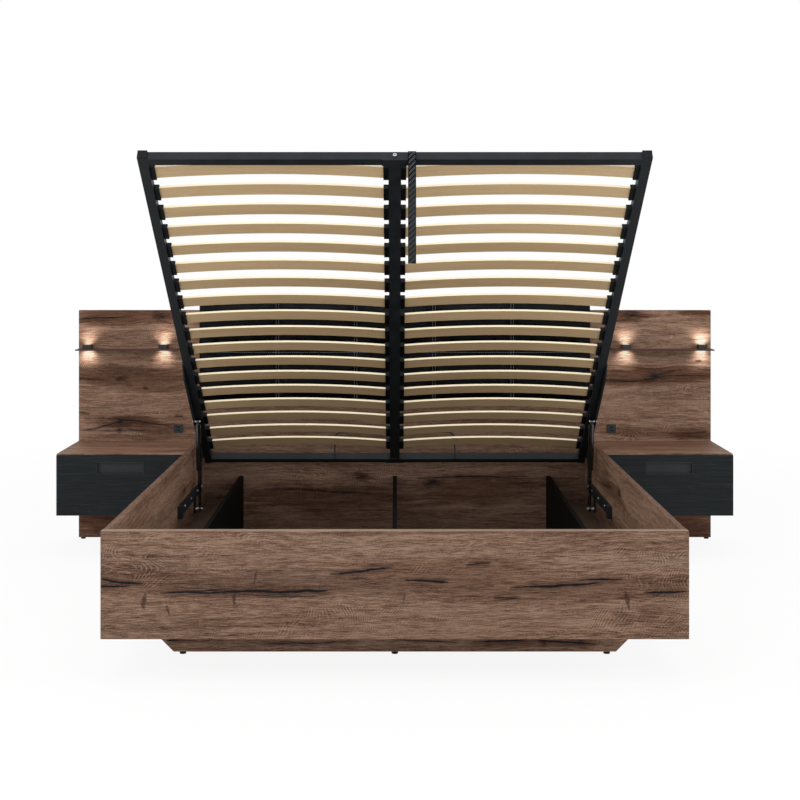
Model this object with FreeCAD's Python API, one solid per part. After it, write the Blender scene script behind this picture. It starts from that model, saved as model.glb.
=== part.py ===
import FreeCAD, Part
import math

# Ottoman bed: a gas-lift slatted frame over a storage box, with a wide headboard,
# a quilted pad, two floating nightstands with drawers, lamp ledges and charging sockets.
# Millimetres, +Z up, +X across the bed, -Y towards the foot end.
# The origin is on the floor under the middle; the slatted frame is modelled raised.

# Boards of the storage box
footboard_thickness = 32.0
rail_thickness = 18.0
rail_inset = 2.0
panel_bottom = 124.0
panel_height = 305.0
edge_radius = 1.5

# Headboard
headboard_thickness = 22.0
headboard_height = 965.0
centre_panel_overhang = 2.0
wing_width = 511.0
dowel_diameter = 8.0
dowel_length = 60.0
dowel_height_shares = (0.15, 0.5, 0.92)
rail_bolt_diameter = 8.0
rail_bolt_reach = 60.0
rail_bolt_head_diameter = 16.0
rail_bolt_head_height = 6.0
rail_bolt_height_shares = (0.25, 0.75)

# Quilted pad
pad_inset = 4.0
pad_height = 416.0
pad_overhang = 36.0
pad_columns = 5
pad_rows = 2
pad_board_thickness = 12.0
pad_slab = 14.0
pad_crown = 34.0
pad_channel = 9.0
pad_draw_in = 4.0
pad_corner_radius = 16.0
crown_inset_shares = (0.0, 0.035, 0.12, 0.3)
crown_height_shares = (0.0, 0.5, 0.84, 1.0)

# Base under the box
foot_height = 7.0
foot_diameter = 20.0
plinth_setback = 300.0
plinth_thickness = 18.0
plinth_slant = 115.0
plinth_foot_share = 0.96
plinth_clearance = 6.0
divider_foot_inset = 120.0
headboard_foot_inset = 17.0
batten_width = 20.0
batten_height = 14.0
floor_thickness = 8.0
low_floor_height = 22.0
divider_thickness = 16.0
divider_height = 122.0
side_bay_width = 151.0

# Steel corner brackets behind the footboard
bracket_leg = 40.0
bracket_height = 60.0
bracket_steel = 3.0
bracket_rise = 40.0

# Slatted frame, steel tube
frame_width = 1596.0
frame_length = 1992.0
frame_head_gap = 37.0
frame_foot_gap = 8.0
frame_side_gap = 12.0
frame_recess = 15.0
tube_width = 30.0
tube_height = 30.0
tube_wall = 1.5
end_bar_width = 28.0
end_bar_inset = 5.0
centre_rail_width = 40.0
cap_flange = 3.0
cap_plug = 12.0
lift_angle = 36.1

# Slats and their holders
slat_count = 18
slat_width = 53.0
slat_thickness = 8.0
slat_bow = 17.0
first_slat_gap = 28.5
last_slat_gap = 76.5
slat_rise = 14.0
holder_length = 60.0
holder_depth = 16.0
holder_height = 18.0
slat_insertion = 12.0

# Joint plates and centre bolts of the frame
joint_plate_width = 80.0
joint_plate_length = 36.0
joint_plate_steel = 3.0
centre_bolt_diameter = 8.0
centre_bolt_head_diameter = 12.0
centre_bolt_head_height = 5.0
centre_bolt_socket = 6.0
centre_bolt_socket_depth = 3.0
centre_nut_width = 20.0
centre_nut_height = 8.0

# Mattress retainer, a bent wire bow on the head bar
retainer_width = 504.0
retainer_rise = 96.0
retainer_wire = 6.0
retainer_bend = 28.0

# Pull strap, webbing looped round the foot bar
strap_width = 25.0
strap_thickness = 2.0
strap_length = 327.0
strap_place = 53.5
strap_bar_clearance = 0.8

# Lift mechanism
hinge_from_head_end = 93.0
hinge_above_tube_bottom = 16.0
hinge_pin_diameter = 10.0
hinge_pin_in_tube = 22.0
running_clearance = 0.05
seat_clearance = 0.3
base_plate_thickness = 6.0
base_bar_start = 110.0
base_bar_length = 650.0
base_bar_rise = 77.0
base_bar_height = 45.0
base_arm_width = 36.0
base_ear_radius = 16.0
base_block_length = 38.0
base_block_depth = 12.0
base_screw_diameter = 5.0
base_screw_reach = 12.0
base_screw_head_diameter = 10.0
base_screw_head_height = 3.0
base_screw_shares = (0.04, 0.22, 0.5, 0.76)
lift_bracket_thickness = 4.0
lift_bracket_start = 55.0
lift_bracket_length = 725.0
lift_bracket_drop = 26.0
lift_bracket_head_drop = 6.0
lift_bracket_slope = 60.0
lift_bracket_top_gap = 2.0
bracket_bolt_shares = (0.16, 0.62, 0.93)
bracket_bolt_diameter = 6.0
bracket_bolt_head_diameter = 13.0
bracket_bolt_head_height = 4.0
bracket_bolt_reach = 14.0

# Gas struts
strut_arm = 282.0
strut_pin_drop = 12.0
lower_pin_rise = 36.0
strut_from_tube_side = 12.0
strut_pin_diameter = 8.0
strut_eye_radius = 9.0
strut_eye_width = 12.0
strut_pin_head_diameter = 14.0
strut_pin_head_height = 4.0
strut_collar_diameter = 12.0
strut_clip_thickness = 2.0
barrel_diameter = 22.0
barrel_wall = 1.6
barrel_end = 5.0
barrel_neck = 11.0
barrel_foot_clearance = 13.0
rod_diameter = 12.0
rod_head_clearance = 17.0

# Frame rests at the foot end
rest_length = 60.0
rest_from_foot = 50.0
rest_steel = 3.0
rest_pad = 4.0
rest_leg = 50.0
rest_reach = 38.0

# Nightstands and drawers
stand_depth = 420.0
stand_height = 245.0
stand_rise = 48.0
stand_board = 18.0
stand_back_board = 8.0
front_thickness = 18.0
front_reveal = 2.0
front_top_reveal = 3.0
drawer_side = 12.0
drawer_floor = 5.0
drawer_height = 150.0
drawer_length = 350.0
drawer_lift = 22.0
runner_gap = 13.0
runner_height = 36.0
runner_channel = 1.5
runner_channel_depth = 9.0
runner_rise = 50.0
handle_width = 186.0
handle_height = 48.0
handle_depth = 13.0
handle_wall = 2.5
handle_drop = 31.0
handle_rim = 1.0

# Lamp ledges and lamps
ledge_length = 428.0
ledge_depth = 75.0
ledge_thickness = 5.0
ledge_top = 809.0
ledge_nose = 2.0
lamp_width = 39.0
lamp_height = 19.0
lamp_depth = 34.0
lamp_wall_gap = 10.0
inner_lamp_inset = 364.0
outer_lamp_inset = 42.0
lamp_edge = 3.0
lens_length = 24.0
lens_width = 16.0
lens_thickness = 3.0
lower_lens_diameter = 22.0

# Charging sockets
socket_width = 38.0
socket_height = 36.0
socket_proud = 3.0
socket_body_width = 30.0
socket_body_height = 28.0
socket_body_depth = 16.0
socket_inset = 88.0
socket_above_stand = 52.0
port_width = 12.6
port_height = 5.0
port_depth = 9.0
port_tongue = 1.8
port_tongue_width = 10.0
port_spacing = 13.0

# One overrun for all cuts
overrun = 5.0

# Places worked out from the sizes above
Vec = FreeCAD.Vector
ORIGIN = Vec(0, 0, 0)
AXIS_X = Vec(1, 0, 0)
AXIS_Y = Vec(0, 1, 0)
AXIS_Z = Vec(0, 0, 1)
bed_length = footboard_thickness + frame_foot_gap + frame_length + frame_head_gap
overall_length = bed_length + headboard_thickness
front_y = -overall_length / 2
back_y = overall_length / 2
face_y = front_y + bed_length
foot_inner_y = front_y + footboard_thickness
panel_top = panel_bottom + panel_height
frame_half = frame_width / 2
rail_inner = frame_half + frame_side_gap
rail_outer = rail_inner + rail_thickness
bed_half = rail_outer + rail_inset
centre_half = bed_half + centre_panel_overhang
wing_outer = centre_half + wing_width
side_divider_outer = rail_inner - side_bay_width
plinth_half = rail_inner - batten_width - plinth_clearance
plinth_bottom_half = plinth_half - plinth_slant
pad_half = centre_half - pad_inset
lamp_places = (wing_outer - inner_lamp_inset, wing_outer - outer_lamp_inset)
socket_place = centre_half + socket_inset
headboard_top = foot_height + headboard_height
floor_bottom = panel_bottom + batten_height
plinth_y = front_y + plinth_setback
low_front_y = plinth_y + plinth_thickness
floor_top = floor_bottom + floor_thickness

tube_inner = frame_half - tube_width
frame_top = panel_top - frame_recess
frame_bottom = frame_top - tube_height
frame_middle_z = (frame_top + frame_bottom) / 2
head_end_y = face_y - frame_head_gap
foot_end_y = head_end_y - frame_length
foot_bar_y = foot_end_y + end_bar_inset
head_bar_y = head_end_y - end_bar_inset
foot_bar_inner_y = foot_bar_y + end_bar_width
head_bar_inner_y = head_bar_y - end_bar_width
slat_run = head_bar_inner_y - foot_bar_inner_y - first_slat_gap - last_slat_gap - slat_width
slat_pitch = slat_run / (slat_count - 1)
hinge_y = head_end_y - hinge_from_head_end
hinge_z = frame_bottom + hinge_above_tube_bottom
HINGE = Vec(0, hinge_y, hinge_z)

plate_outer = rail_inner
plate_inner = rail_inner - base_plate_thickness
lift_bracket_outer = frame_half + lift_bracket_thickness
strut_x = frame_half - strut_from_tube_side
eye_inner = strut_x - strut_eye_width / 2
eye_outer = strut_x + strut_eye_width / 2

# Both strut pins lie on one circle about the hinge, so the strut turns half as far as the frame.
upper_fall = hinge_above_tube_bottom + strut_pin_drop
lower_pin_z = floor_top + lower_pin_rise
lower_fall = hinge_z - lower_pin_z
upper_pin_y = hinge_y - math.sqrt(strut_arm ** 2 - upper_fall ** 2)
upper_pin_z = hinge_z - upper_fall
lower_pin_y = hinge_y - math.sqrt(strut_arm ** 2 - lower_fall ** 2)
closed_spread = math.asin(lower_fall / strut_arm) - math.asin(upper_fall / strut_arm)
open_spread = closed_spread + math.radians(lift_angle)
strut_closed = 2 * strut_arm * math.sin(closed_spread / 2)
strut_open = 2 * strut_arm * math.sin(open_spread / 2)

stand_inner = centre_half
stand_outer = wing_outer
stand_bottom = panel_bottom + stand_rise
stand_top = stand_bottom + stand_height
stand_front_y = face_y - stand_depth
carcass_front_y = stand_front_y + front_thickness
drawer_inner = stand_inner + stand_board + runner_gap
drawer_outer = stand_outer - stand_board - runner_gap
drawer_bottom_z = stand_bottom + stand_board + drawer_lift
drawer_back_y = carcass_front_y + drawer_length
runner_bottom = stand_bottom + stand_board + runner_rise
stand_middle = (stand_inner + stand_outer) / 2


def block(x0, x1, y0, y1, z0, z1):
    """A box between two corners."""
    return Part.makeBox(x1 - x0, y1 - y0, z1 - z0, Vec(x0, y0, z0))


def round_x(x0, x1, y, z, radius):
    """A round bar along X."""
    return Part.makeCylinder(radius, x1 - x0, Vec(x0, y, z), AXIS_X)


def round_y(y0, y1, x, z, radius):
    """A round bar along Y."""
    return Part.makeCylinder(radius, y1 - y0, Vec(x, y0, z), AXIS_Y)


def round_z(z0, z1, x, y, radius):
    """A round bar along Z."""
    return Part.makeCylinder(radius, z1 - z0, Vec(x, y, z0), AXIS_Z)


def plate_x(points, x0, x1):
    """A flat plate between two X places, from an outline of (y, z) points."""
    corners = [Vec(x0, y, z) for y, z in points]
    face = Part.Face(Part.makePolygon(corners + corners[:1]))
    return face.extrude(Vec(x1 - x0, 0, 0))


def plate_y(points, y0, y1):
    """A flat plate between two Y places, from an outline of (x, z) points."""
    corners = [Vec(x, y0, z) for x, z in points]
    face = Part.Face(Part.makePolygon(corners + corners[:1]))
    return face.extrude(Vec(0, y1 - y0, 0))


def plate_z(points, z0, z1):
    """A flat plate between two Z places, from an outline of (x, y) points."""
    corners = [Vec(x, y, z0) for x, y in points]
    face = Part.Face(Part.makePolygon(corners + corners[:1]))
    return face.extrude(Vec(0, 0, z1 - z0))


def board(x0, x1, y0, y1, z0, z1):
    """A board with its long edges along X, Y and Z broken by a small radius."""
    shape = block(x0, x1, y0, y1, z0, z1)
    return shape.makeFillet(edge_radius, shape.Edges)


def mirrored(shape):
    """The same piece on the other side of the bed."""
    return shape.mirror(ORIGIN, AXIS_X)


def pair(shape):
    """A piece and its mirror image."""
    return [shape, mirrored(shape)]


def raised(shape):
    """A piece of the slatted frame, turned from lying flat to its raised place."""
    return shape.rotated(HINGE, AXIS_X, -lift_angle)


def save(name, *solids):
    """Write one node, as one solid or as a group of separate solids."""
    shape = solids[0] if len(solids) == 1 else Part.makeCompound(list(solids))
    shape.exportStep("parts/%s.step" % name)


def save_sides(name, right):
    """Write a piece of the right side and its mirror image as two nodes."""
    save("right_" + name, right)
    save("left_" + name, mirrored(right))


def footboard():
    save("footboard", board(-bed_half, bed_half, front_y, foot_inner_y, panel_bottom, panel_top))


def base_screw_places():
    """Y places of the screws that hold a base plate to its rail."""
    bar_back = face_y - base_bar_start
    return [bar_back - share * base_bar_length for share in base_screw_shares]


def base_screw_z():
    """The height of those screws, at the middle of the bar."""
    return floor_top + base_bar_rise + base_bar_height / 2


def rail_bolt_heights():
    return [panel_bottom + share * panel_height for share in rail_bolt_height_shares]


def side_rails():
    """Side rails, bored for the base plate's screws and for the bolts through the headboard."""
    rail = block(rail_inner, rail_outer, foot_inner_y, face_y, panel_bottom, panel_top)
    long_edges = [e for e in rail.Edges if e.Length > rail_thickness * 2 and abs(e.tangentAt(0).y) > 0.5]
    rail = rail.makeFillet(edge_radius, long_edges)
    for y in base_screw_places():
        hole = round_x(rail_inner - overrun, rail_inner + base_screw_reach, y, base_screw_z(),
                       base_screw_diameter / 2)
        rail = rail.cut(hole)
    middle = (rail_inner + rail_outer) / 2
    for z in rail_bolt_heights():
        bore = round_y(face_y - rail_bolt_reach, face_y + overrun, middle, z, rail_bolt_diameter / 2)
        rail = rail.cut(bore)
    save_sides("side_rail", rail)


def rail_bolt(z):
    """A bolt from the headboard's back into a rail's end, its head sunk flush."""
    middle = (rail_inner + rail_outer) / 2
    head_y = back_y - rail_bolt_head_height
    shank = round_y(face_y - rail_bolt_reach, head_y, middle, z, rail_bolt_diameter / 2)
    head = round_y(head_y, back_y, middle, z, rail_bolt_head_diameter / 2)
    return shank.fuse(head).removeSplitter()


def wing_dowel(z):
    """A dowel that joins a wing to the centre panel."""
    middle_y = (face_y + back_y) / 2
    return round_x(centre_half - dowel_length / 2, centre_half + dowel_length / 2, middle_y, z,
                   dowel_diameter / 2)


def socket_body():
    """The part of a charging socket that sits in the wing panel."""
    z = stand_top + socket_above_stand
    return block(socket_place - socket_body_width / 2, socket_place + socket_body_width / 2,
                 face_y, face_y + socket_body_depth,
                 z - socket_body_height / 2, z + socket_body_height / 2)


def headboard():
    """Centre panel and wings, with the bores for bolts, dowels and sockets."""
    bolts = [rail_bolt(z) for z in rail_bolt_heights()]
    dowels = [wing_dowel(foot_height + share * headboard_height) for share in dowel_height_shares]
    centre = block(-centre_half, centre_half, face_y, back_y, foot_height, headboard_top)
    wing = block(centre_half, wing_outer, face_y, back_y, foot_height, headboard_top)
    for piece in bolts + dowels:
        centre = centre.cut(piece).cut(mirrored(piece))
    for piece in dowels + [socket_body()]:
        wing = wing.cut(piece)
    save("headboard_centre_panel", centre)
    save_sides("wing_panel", wing)
    save("rail_bolts", *bolts, *[mirrored(bolt) for bolt in bolts])
    save("wing_dowels", *dowels, *[mirrored(dowel) for dowel in dowels])


def pillow_outline(x, z, half_width, half_height, radius, y):
    """A cell's outline: sides drawn in a little between rounded corners."""
    corner = radius * (1 - math.sqrt(0.5))
    points = []
    for sx, sz in ((1, -1), (1, 1), (-1, 1), (-1, -1)):
        along_z = Vec(x + sx * half_width, y, z + sz * (half_height - radius))
        along_x = Vec(x + sx * (half_width - radius), y, z + sz * half_height)
        middle = Vec(x + sx * (half_width - corner), y, z + sz * (half_height - corner))
        ends = (along_x, along_z) if sx * sz < 0 else (along_z, along_x)
        points.append((ends[0], middle, ends[1]))
    edges = []
    for index, (start, middle, end) in enumerate(points):
        edges.append(Part.Arc(start, middle, end).toShape())
        following = points[(index + 1) % len(points)][0]
        bulge = (end + following) * 0.5
        inward = Vec(x, y, z) - bulge
        bulge = bulge + inward.normalize() * pad_draw_in
        edges.append(Part.Arc(end, bulge, following).toShape())
    return Part.Wire(edges)


def pillow(x, z, width, height, base_y):
    """One crowned cell of the quilted pad, lofted through outlines that shrink towards the front."""
    wires = []
    for inset_share, rise_share in zip(crown_inset_shares, crown_height_shares):
        inset = inset_share * height / 2
        outline = pillow_outline(x, z, width / 2 - inset, height / 2 - inset, pad_corner_radius,
                                 base_y - rise_share * pad_crown)
        wires.append(outline)
    return Part.makeLoft(wires, True)


def headboard_pad():
    """A quilted pad on its board: crowned cells in columns and rows over one slab."""
    half = pad_half
    top = headboard_top + pad_overhang
    bottom = top - pad_height
    board_y = face_y - pad_board_thickness
    slab_y = board_y - pad_slab
    save("pad_backing_board", block(-half + pad_slab, half - pad_slab, board_y, face_y,
                                    bottom + pad_slab, top - pad_slab))
    shape = block(-half, half, slab_y, board_y, bottom, top)
    cell_width = 2 * half / pad_columns
    cell_height = pad_height / pad_rows
    for column in range(pad_columns):
        for row in range(pad_rows):
            x = -half + (column + 0.5) * cell_width
            z = bottom + (row + 0.5) * cell_height
            cell = pillow(x, z, cell_width - pad_channel, cell_height - pad_channel, slab_y)
            shape = shape.fuse(cell)
    save("headboard_pad", shape.removeSplitter())


def plinth_outline():
    """A cross board with slanted ends, wider at the top."""
    top = floor_bottom
    half_low = plinth_bottom_half
    half_high = plinth_half
    shoulder = foot_height + half_high - half_low
    return [(-half_low, foot_height), (half_low, foot_height), (half_high, shoulder), (half_high, top),
            (-half_high, top), (-half_high, shoulder)]


def divider(x0, x1):
    """A board on edge from the footboard to the headboard, standing on the ground behind the plinth."""
    top = floor_top + divider_height
    outline = [(foot_inner_y, floor_top), (low_front_y, floor_top), (low_front_y, foot_height),
               (face_y, foot_height), (face_y, top), (foot_inner_y, top)]
    return plate_x(outline, x0, x1)


def base():
    """Plinth, dividers, two levels of floor on battens, and the glides under them."""
    save("front_plinth", plate_y(plinth_outline(), plinth_y, low_front_y))
    half = divider_thickness / 2
    side_divider_inner = side_divider_outer - divider_thickness
    save("centre_divider", divider(-half, half))
    save("side_dividers", *pair(divider(side_divider_inner, side_divider_outer)))

    feet = []
    reach = plinth_foot_share * plinth_bottom_half
    side_middle = (side_divider_inner + side_divider_outer) / 2
    for x in (-reach, 0, reach):
        feet.append(round_z(0, foot_height, x, plinth_y + plinth_thickness / 2, foot_diameter / 2))
    for x in (-side_middle, 0, side_middle):
        feet.append(round_z(0, foot_height, x, face_y - divider_foot_inset, foot_diameter / 2))
    for x in (centre_half + headboard_foot_inset, wing_outer - headboard_foot_inset):
        foot = round_z(0, foot_height, x, (face_y + back_y) / 2, foot_diameter / 2)
        feet.extend(pair(foot))
    save("glide_feet", *feet)

    inner = rail_inner - batten_width
    beside = side_divider_outer + batten_width
    battens = pair(block(inner, rail_inner, foot_inner_y, face_y, panel_bottom, floor_bottom))
    battens += pair(block(side_divider_outer, beside, low_front_y, face_y, panel_bottom, floor_bottom))
    battens += pair(block(beside, inner, face_y - batten_width, face_y, panel_bottom, floor_bottom))
    battens.append(block(-inner, inner, foot_inner_y, foot_inner_y + batten_width,
                         panel_bottom, floor_bottom))
    save("floor_battens", *battens)
    shelf = block(-rail_inner, rail_inner, foot_inner_y, low_front_y, floor_bottom, floor_top)
    side_floor = block(side_divider_outer, rail_inner, low_front_y, face_y, floor_bottom, floor_top)
    save("floor_panels", shelf, *pair(side_floor))

    low_battens = []
    batten_low = low_floor_height - batten_height
    for x in (half, side_divider_inner - batten_width):
        low_battens += pair(block(x, x + batten_width, low_front_y, face_y, batten_low, low_floor_height))
    save("low_battens", *low_battens)
    save("low_floor_panels", *pair(block(half, side_divider_inner, low_front_y, face_y,
                                         low_floor_height, low_floor_height + floor_thickness)))


def corner_brackets():
    """Steel angles that hold the footboard to the rails."""
    low = floor_top + bracket_rise
    high = low + bracket_height
    on_rail = block(rail_inner - bracket_steel, rail_inner,
                    foot_inner_y, foot_inner_y + bracket_leg, low, high)
    on_board = block(rail_inner - bracket_leg, rail_inner,
                     foot_inner_y, foot_inner_y + bracket_steel, low, high)
    save("corner_brackets", *pair(on_rail.fuse(on_board).removeSplitter()))


def base_plates():
    """Plates on the rails: a bar, an upright arm to the hinge and an ear for the strut's lower pin."""
    bar_back = face_y - base_bar_start
    bar_front = bar_back - base_bar_length
    low = floor_top + base_bar_rise
    high = low + base_bar_height
    arm_half = base_arm_width / 2
    plate = block(plate_inner, plate_outer, bar_front, bar_back, low, high)
    arm = block(plate_inner, plate_outer, hinge_y - arm_half, hinge_y + arm_half, low, hinge_z)
    ear = block(plate_inner, plate_outer, lower_pin_y - base_ear_radius, lower_pin_y + base_ear_radius,
                lower_pin_z, high)
    plate = plate.fuse(arm).fuse(round_x(plate_inner, plate_outer, hinge_y, hinge_z, arm_half))
    plate = plate.fuse(ear)
    plate = plate.fuse(round_x(plate_inner, plate_outer, lower_pin_y, lower_pin_z, base_ear_radius))
    plate = plate.fuse(block(plate_inner - base_block_depth, plate_inner, bar_front,
                             bar_front + base_block_length, low, high))
    hinge_hole = round_x(plate_inner - overrun, plate_outer + overrun, hinge_y, hinge_z,
                         hinge_pin_diameter / 2 + running_clearance)
    pin_hole = round_x(plate_inner - overrun, plate_outer + overrun, lower_pin_y, lower_pin_z,
                       strut_pin_diameter / 2)
    plate = plate.cut(hinge_hole).cut(pin_hole)
    screws = []
    for y in base_screw_places():
        shank = round_x(plate_inner, rail_inner + base_screw_reach, y, base_screw_z(),
                        base_screw_diameter / 2)
        head = round_x(plate_inner - base_screw_head_height, plate_inner, y, base_screw_z(),
                       base_screw_head_diameter / 2)
        plate = plate.cut(shank)
        screws.extend(pair(shank.fuse(head).removeSplitter()))
    save("base_plates", *pair(plate.removeSplitter()))
    save("base_plate_screws", *screws)


def strut_pin(y, z, outer_x):
    """A strut's pin from its plate inwards, with a collar against the eye and a clip past it."""
    clip_x = eye_inner - seat_clearance - strut_clip_thickness
    shank = round_x(clip_x - strut_clip_thickness, outer_x, y, z, strut_pin_diameter / 2)
    clip = round_x(clip_x, clip_x + strut_clip_thickness, y, z, strut_collar_diameter / 2)
    return shank.fuse(clip)


def strut_pins():
    """Lower pins on the base plates and upper pins on the lift brackets."""
    lower = strut_pin(lower_pin_y, lower_pin_z, plate_outer)
    lower_collar = round_x(eye_outer + seat_clearance, plate_inner, lower_pin_y, lower_pin_z,
                           strut_collar_diameter / 2)
    save("strut_lower_pins", *pair(lower.fuse(lower_collar).removeSplitter()))
    upper = strut_pin(upper_pin_y, upper_pin_z, lift_bracket_outer)
    upper_collar = round_x(eye_outer + seat_clearance, frame_half, upper_pin_y, upper_pin_z,
                           strut_collar_diameter / 2)
    head = round_x(lift_bracket_outer, lift_bracket_outer + strut_pin_head_height, upper_pin_y, upper_pin_z,
                   strut_pin_head_diameter / 2)
    save("strut_upper_pins", *pair(raised(upper.fuse(upper_collar).fuse(head).removeSplitter())))


def struts():
    """Gas struts along a line from the lower to the upper pin, as the raised frame draws them out."""
    start = Vec(0, lower_pin_y, lower_pin_z)
    end = raised(Part.Vertex(0, upper_pin_y, upper_pin_z)).Point
    turn = math.degrees(math.atan2(start.y - end.y, end.z - start.z))
    pin_hole = strut_pin_diameter / 2 + running_clearance

    def along(shape):
        shape.translate(Vec(strut_x, lower_pin_y, lower_pin_z))
        return shape.rotated(start, AXIS_X, turn)

    half = strut_eye_width / 2
    rod_top = strut_closed - rod_head_clearance
    rod = round_x(-half, half, 0, 0, strut_eye_radius).fuse(round_z(0, rod_top, 0, 0, rod_diameter / 2))
    rod = rod.cut(round_x(-half - overrun, half + overrun, 0, 0, pin_hole)).removeSplitter()
    save("strut_rods", *pair(along(rod)))

    barrel_bottom = strut_open - strut_closed + barrel_foot_clearance
    barrel_top = strut_open - barrel_neck
    barrel = round_z(barrel_bottom, barrel_top, 0, 0, barrel_diameter / 2)
    bore = round_z(barrel_bottom + barrel_end, barrel_top - barrel_end, 0, 0,
                   barrel_diameter / 2 - barrel_wall)
    mouth = round_z(barrel_bottom - overrun, barrel_top - barrel_end, 0, 0,
                    rod_diameter / 2 + seat_clearance)
    barrel = barrel.cut(bore).cut(mouth)
    eye = round_x(-half, half, 0, strut_open, strut_eye_radius)
    lug = block(-half, half, -strut_eye_radius, strut_eye_radius, barrel_top, strut_open)
    barrel = barrel.fuse(lug).fuse(eye)
    barrel = barrel.cut(round_x(-half - overrun, half + overrun, 0, strut_open, pin_hole)).removeSplitter()
    save("strut_cylinders", *pair(along(barrel)))
    print("strut open %.1f closed %.1f overlap %.1f" % (strut_open, strut_closed, rod_top - barrel_bottom))


def hollow_y(x0, x1, y0, y1, z0, z1):
    """Rectangular tube along Y."""
    bore = block(x0 + tube_wall, x1 - tube_wall, y0 - overrun, y1 + overrun, z0 + tube_wall, z1 - tube_wall)
    return block(x0, x1, y0, y1, z0, z1).cut(bore)


def hollow_x(x0, x1, y0, y1, z0, z1):
    """Rectangular tube along X."""
    bore = block(x0 - overrun, x1 + overrun, y0 + tube_wall, y1 - tube_wall, z0 + tube_wall, z1 - tube_wall)
    return block(x0, x1, y0, y1, z0, z1).cut(bore)


def bracket_bolt_places():
    """Y places of the bolts that hold a lift bracket to its tube."""
    return [head_end_y - lift_bracket_start - share * lift_bracket_length for share in bracket_bolt_shares]


def hinge_pin():
    """The pin fixed in the tube and the lift bracket, running in the base plate's arm."""
    return round_x(frame_half - hinge_pin_in_tube, plate_outer - seat_clearance, hinge_y, hinge_z,
                   hinge_pin_diameter / 2)


def bracket_bolt(y):
    """A bolt through the lift bracket into the side tube."""
    shank = round_x(frame_half - bracket_bolt_reach, lift_bracket_outer, y, frame_middle_z,
                    bracket_bolt_diameter / 2)
    head = round_x(lift_bracket_outer, lift_bracket_outer + bracket_bolt_head_height, y, frame_middle_z,
                   bracket_bolt_head_diameter / 2)
    return shank.fuse(head).removeSplitter()


def centre_bolt(bar_outer_y, inward):
    """A bolt through an end bar into the centre rail, with its nut inside the rail."""
    end_y = bar_outer_y + inward * (end_bar_width + centre_nut_height * 2)
    head_y = bar_outer_y - inward * centre_bolt_head_height
    shank = round_y(min(bar_outer_y, end_y), max(bar_outer_y, end_y), 0, frame_middle_z,
                    centre_bolt_diameter / 2)
    head = round_y(min(head_y, bar_outer_y), max(head_y, bar_outer_y), 0, frame_middle_z,
                   centre_bolt_head_diameter / 2)
    radius = centre_bolt_socket / 2
    turns = [math.radians(angle) for angle in range(0, 360, 60)]
    corners = [(radius * math.cos(turn), frame_middle_z + radius * math.sin(turn)) for turn in turns]
    mouth_y = head_y - inward * overrun
    floor_y = head_y + inward * centre_bolt_socket_depth
    head = head.cut(plate_y(corners, min(mouth_y, floor_y), max(mouth_y, floor_y)))
    half = centre_nut_width / 2
    nut_y = bar_outer_y + inward * end_bar_width
    far_y = nut_y + inward * centre_nut_height
    nut = block(-half, half, min(nut_y, far_y), max(nut_y, far_y),
                frame_middle_z - half, frame_middle_z + half)
    return shank.fuse(head).removeSplitter(), nut.cut(shank)


def frame_tubes():
    """Side tubes, end bars, centre rail, end caps, joint plates and centre bolts."""
    side = hollow_y(tube_inner, frame_half, foot_end_y, head_end_y, frame_bottom, frame_top)
    side = side.cut(hinge_pin())
    for y in bracket_bolt_places():
        side = side.cut(bracket_bolt(y))
    save_sides("side_tube", raised(side))

    foot_bolt, foot_nut = centre_bolt(foot_bar_y, 1)
    head_bolt, head_nut = centre_bolt(head_bar_y, -1)
    foot = hollow_x(-tube_inner, tube_inner, foot_bar_y, foot_bar_inner_y, frame_bottom, frame_top)
    head = hollow_x(-tube_inner, tube_inner, head_bar_inner_y, head_bar_y, frame_bottom, frame_top)
    save("foot_bar", raised(foot.cut(foot_bolt)))
    save("head_bar", raised(head.cut(head_bolt)))
    half = centre_rail_width / 2
    rail = hollow_y(-half, half, foot_bar_inner_y, head_bar_inner_y, frame_bottom, frame_top)
    save("centre_rail", raised(rail))
    save("centre_bolts", *[raised(piece) for piece in (foot_bolt, foot_nut, head_bolt, head_nut)])

    caps = []
    for end_y, outward in ((foot_end_y, -1), (head_end_y, 1)):
        far_y = end_y + outward * cap_flange
        deep_y = end_y - outward * cap_plug
        flange = block(tube_inner, frame_half, min(end_y, far_y), max(end_y, far_y), frame_bottom, frame_top)
        plug = block(tube_inner + tube_wall, frame_half - tube_wall, min(end_y, deep_y), max(end_y, deep_y),
                     frame_bottom + tube_wall, frame_top - tube_wall)
        caps.extend(pair(raised(flange.fuse(plug).removeSplitter())))
    save("tube_end_caps", *caps)

    wide = joint_plate_width / 2
    plates = []
    for bar_y, inward in ((foot_bar_y, 1), (head_bar_y, -1)):
        step_y = bar_y + inward * end_bar_width
        far_y = bar_y + inward * joint_plate_length
        outline = [(-wide, bar_y), (wide, bar_y), (wide, step_y),
                   (half, far_y), (-half, far_y), (-wide, step_y)]
        plates.append(raised(plate_z(outline, frame_bottom - joint_plate_steel, frame_bottom)))
    save("joint_plates", *plates)


def slat_blank():
    """One bowed slat of the right half, at the first place from the foot end."""
    x0 = centre_rail_width / 2 + holder_depth - slat_insertion
    x1 = tube_inner - holder_depth + slat_insertion
    y0 = foot_bar_inner_y + first_slat_gap
    low = frame_bottom + slat_rise
    middle = (x0 + x1) / 2
    corners = [Vec(x0, y0, low), Vec(middle, y0, low + slat_bow), Vec(x1, y0, low)]
    up = Vec(0, 0, slat_thickness)
    edges = [
        Part.Arc(corners[0], corners[1], corners[2]).toShape(),
        Part.LineSegment(corners[2], corners[2] + up).toShape(),
        Part.Arc(corners[2] + up, corners[1] + up, corners[0] + up).toShape(),
        Part.LineSegment(corners[0] + up, corners[0]).toShape(),
    ]
    return Part.Face(Part.Wire(edges)).extrude(Vec(0, slat_width, 0))


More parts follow.
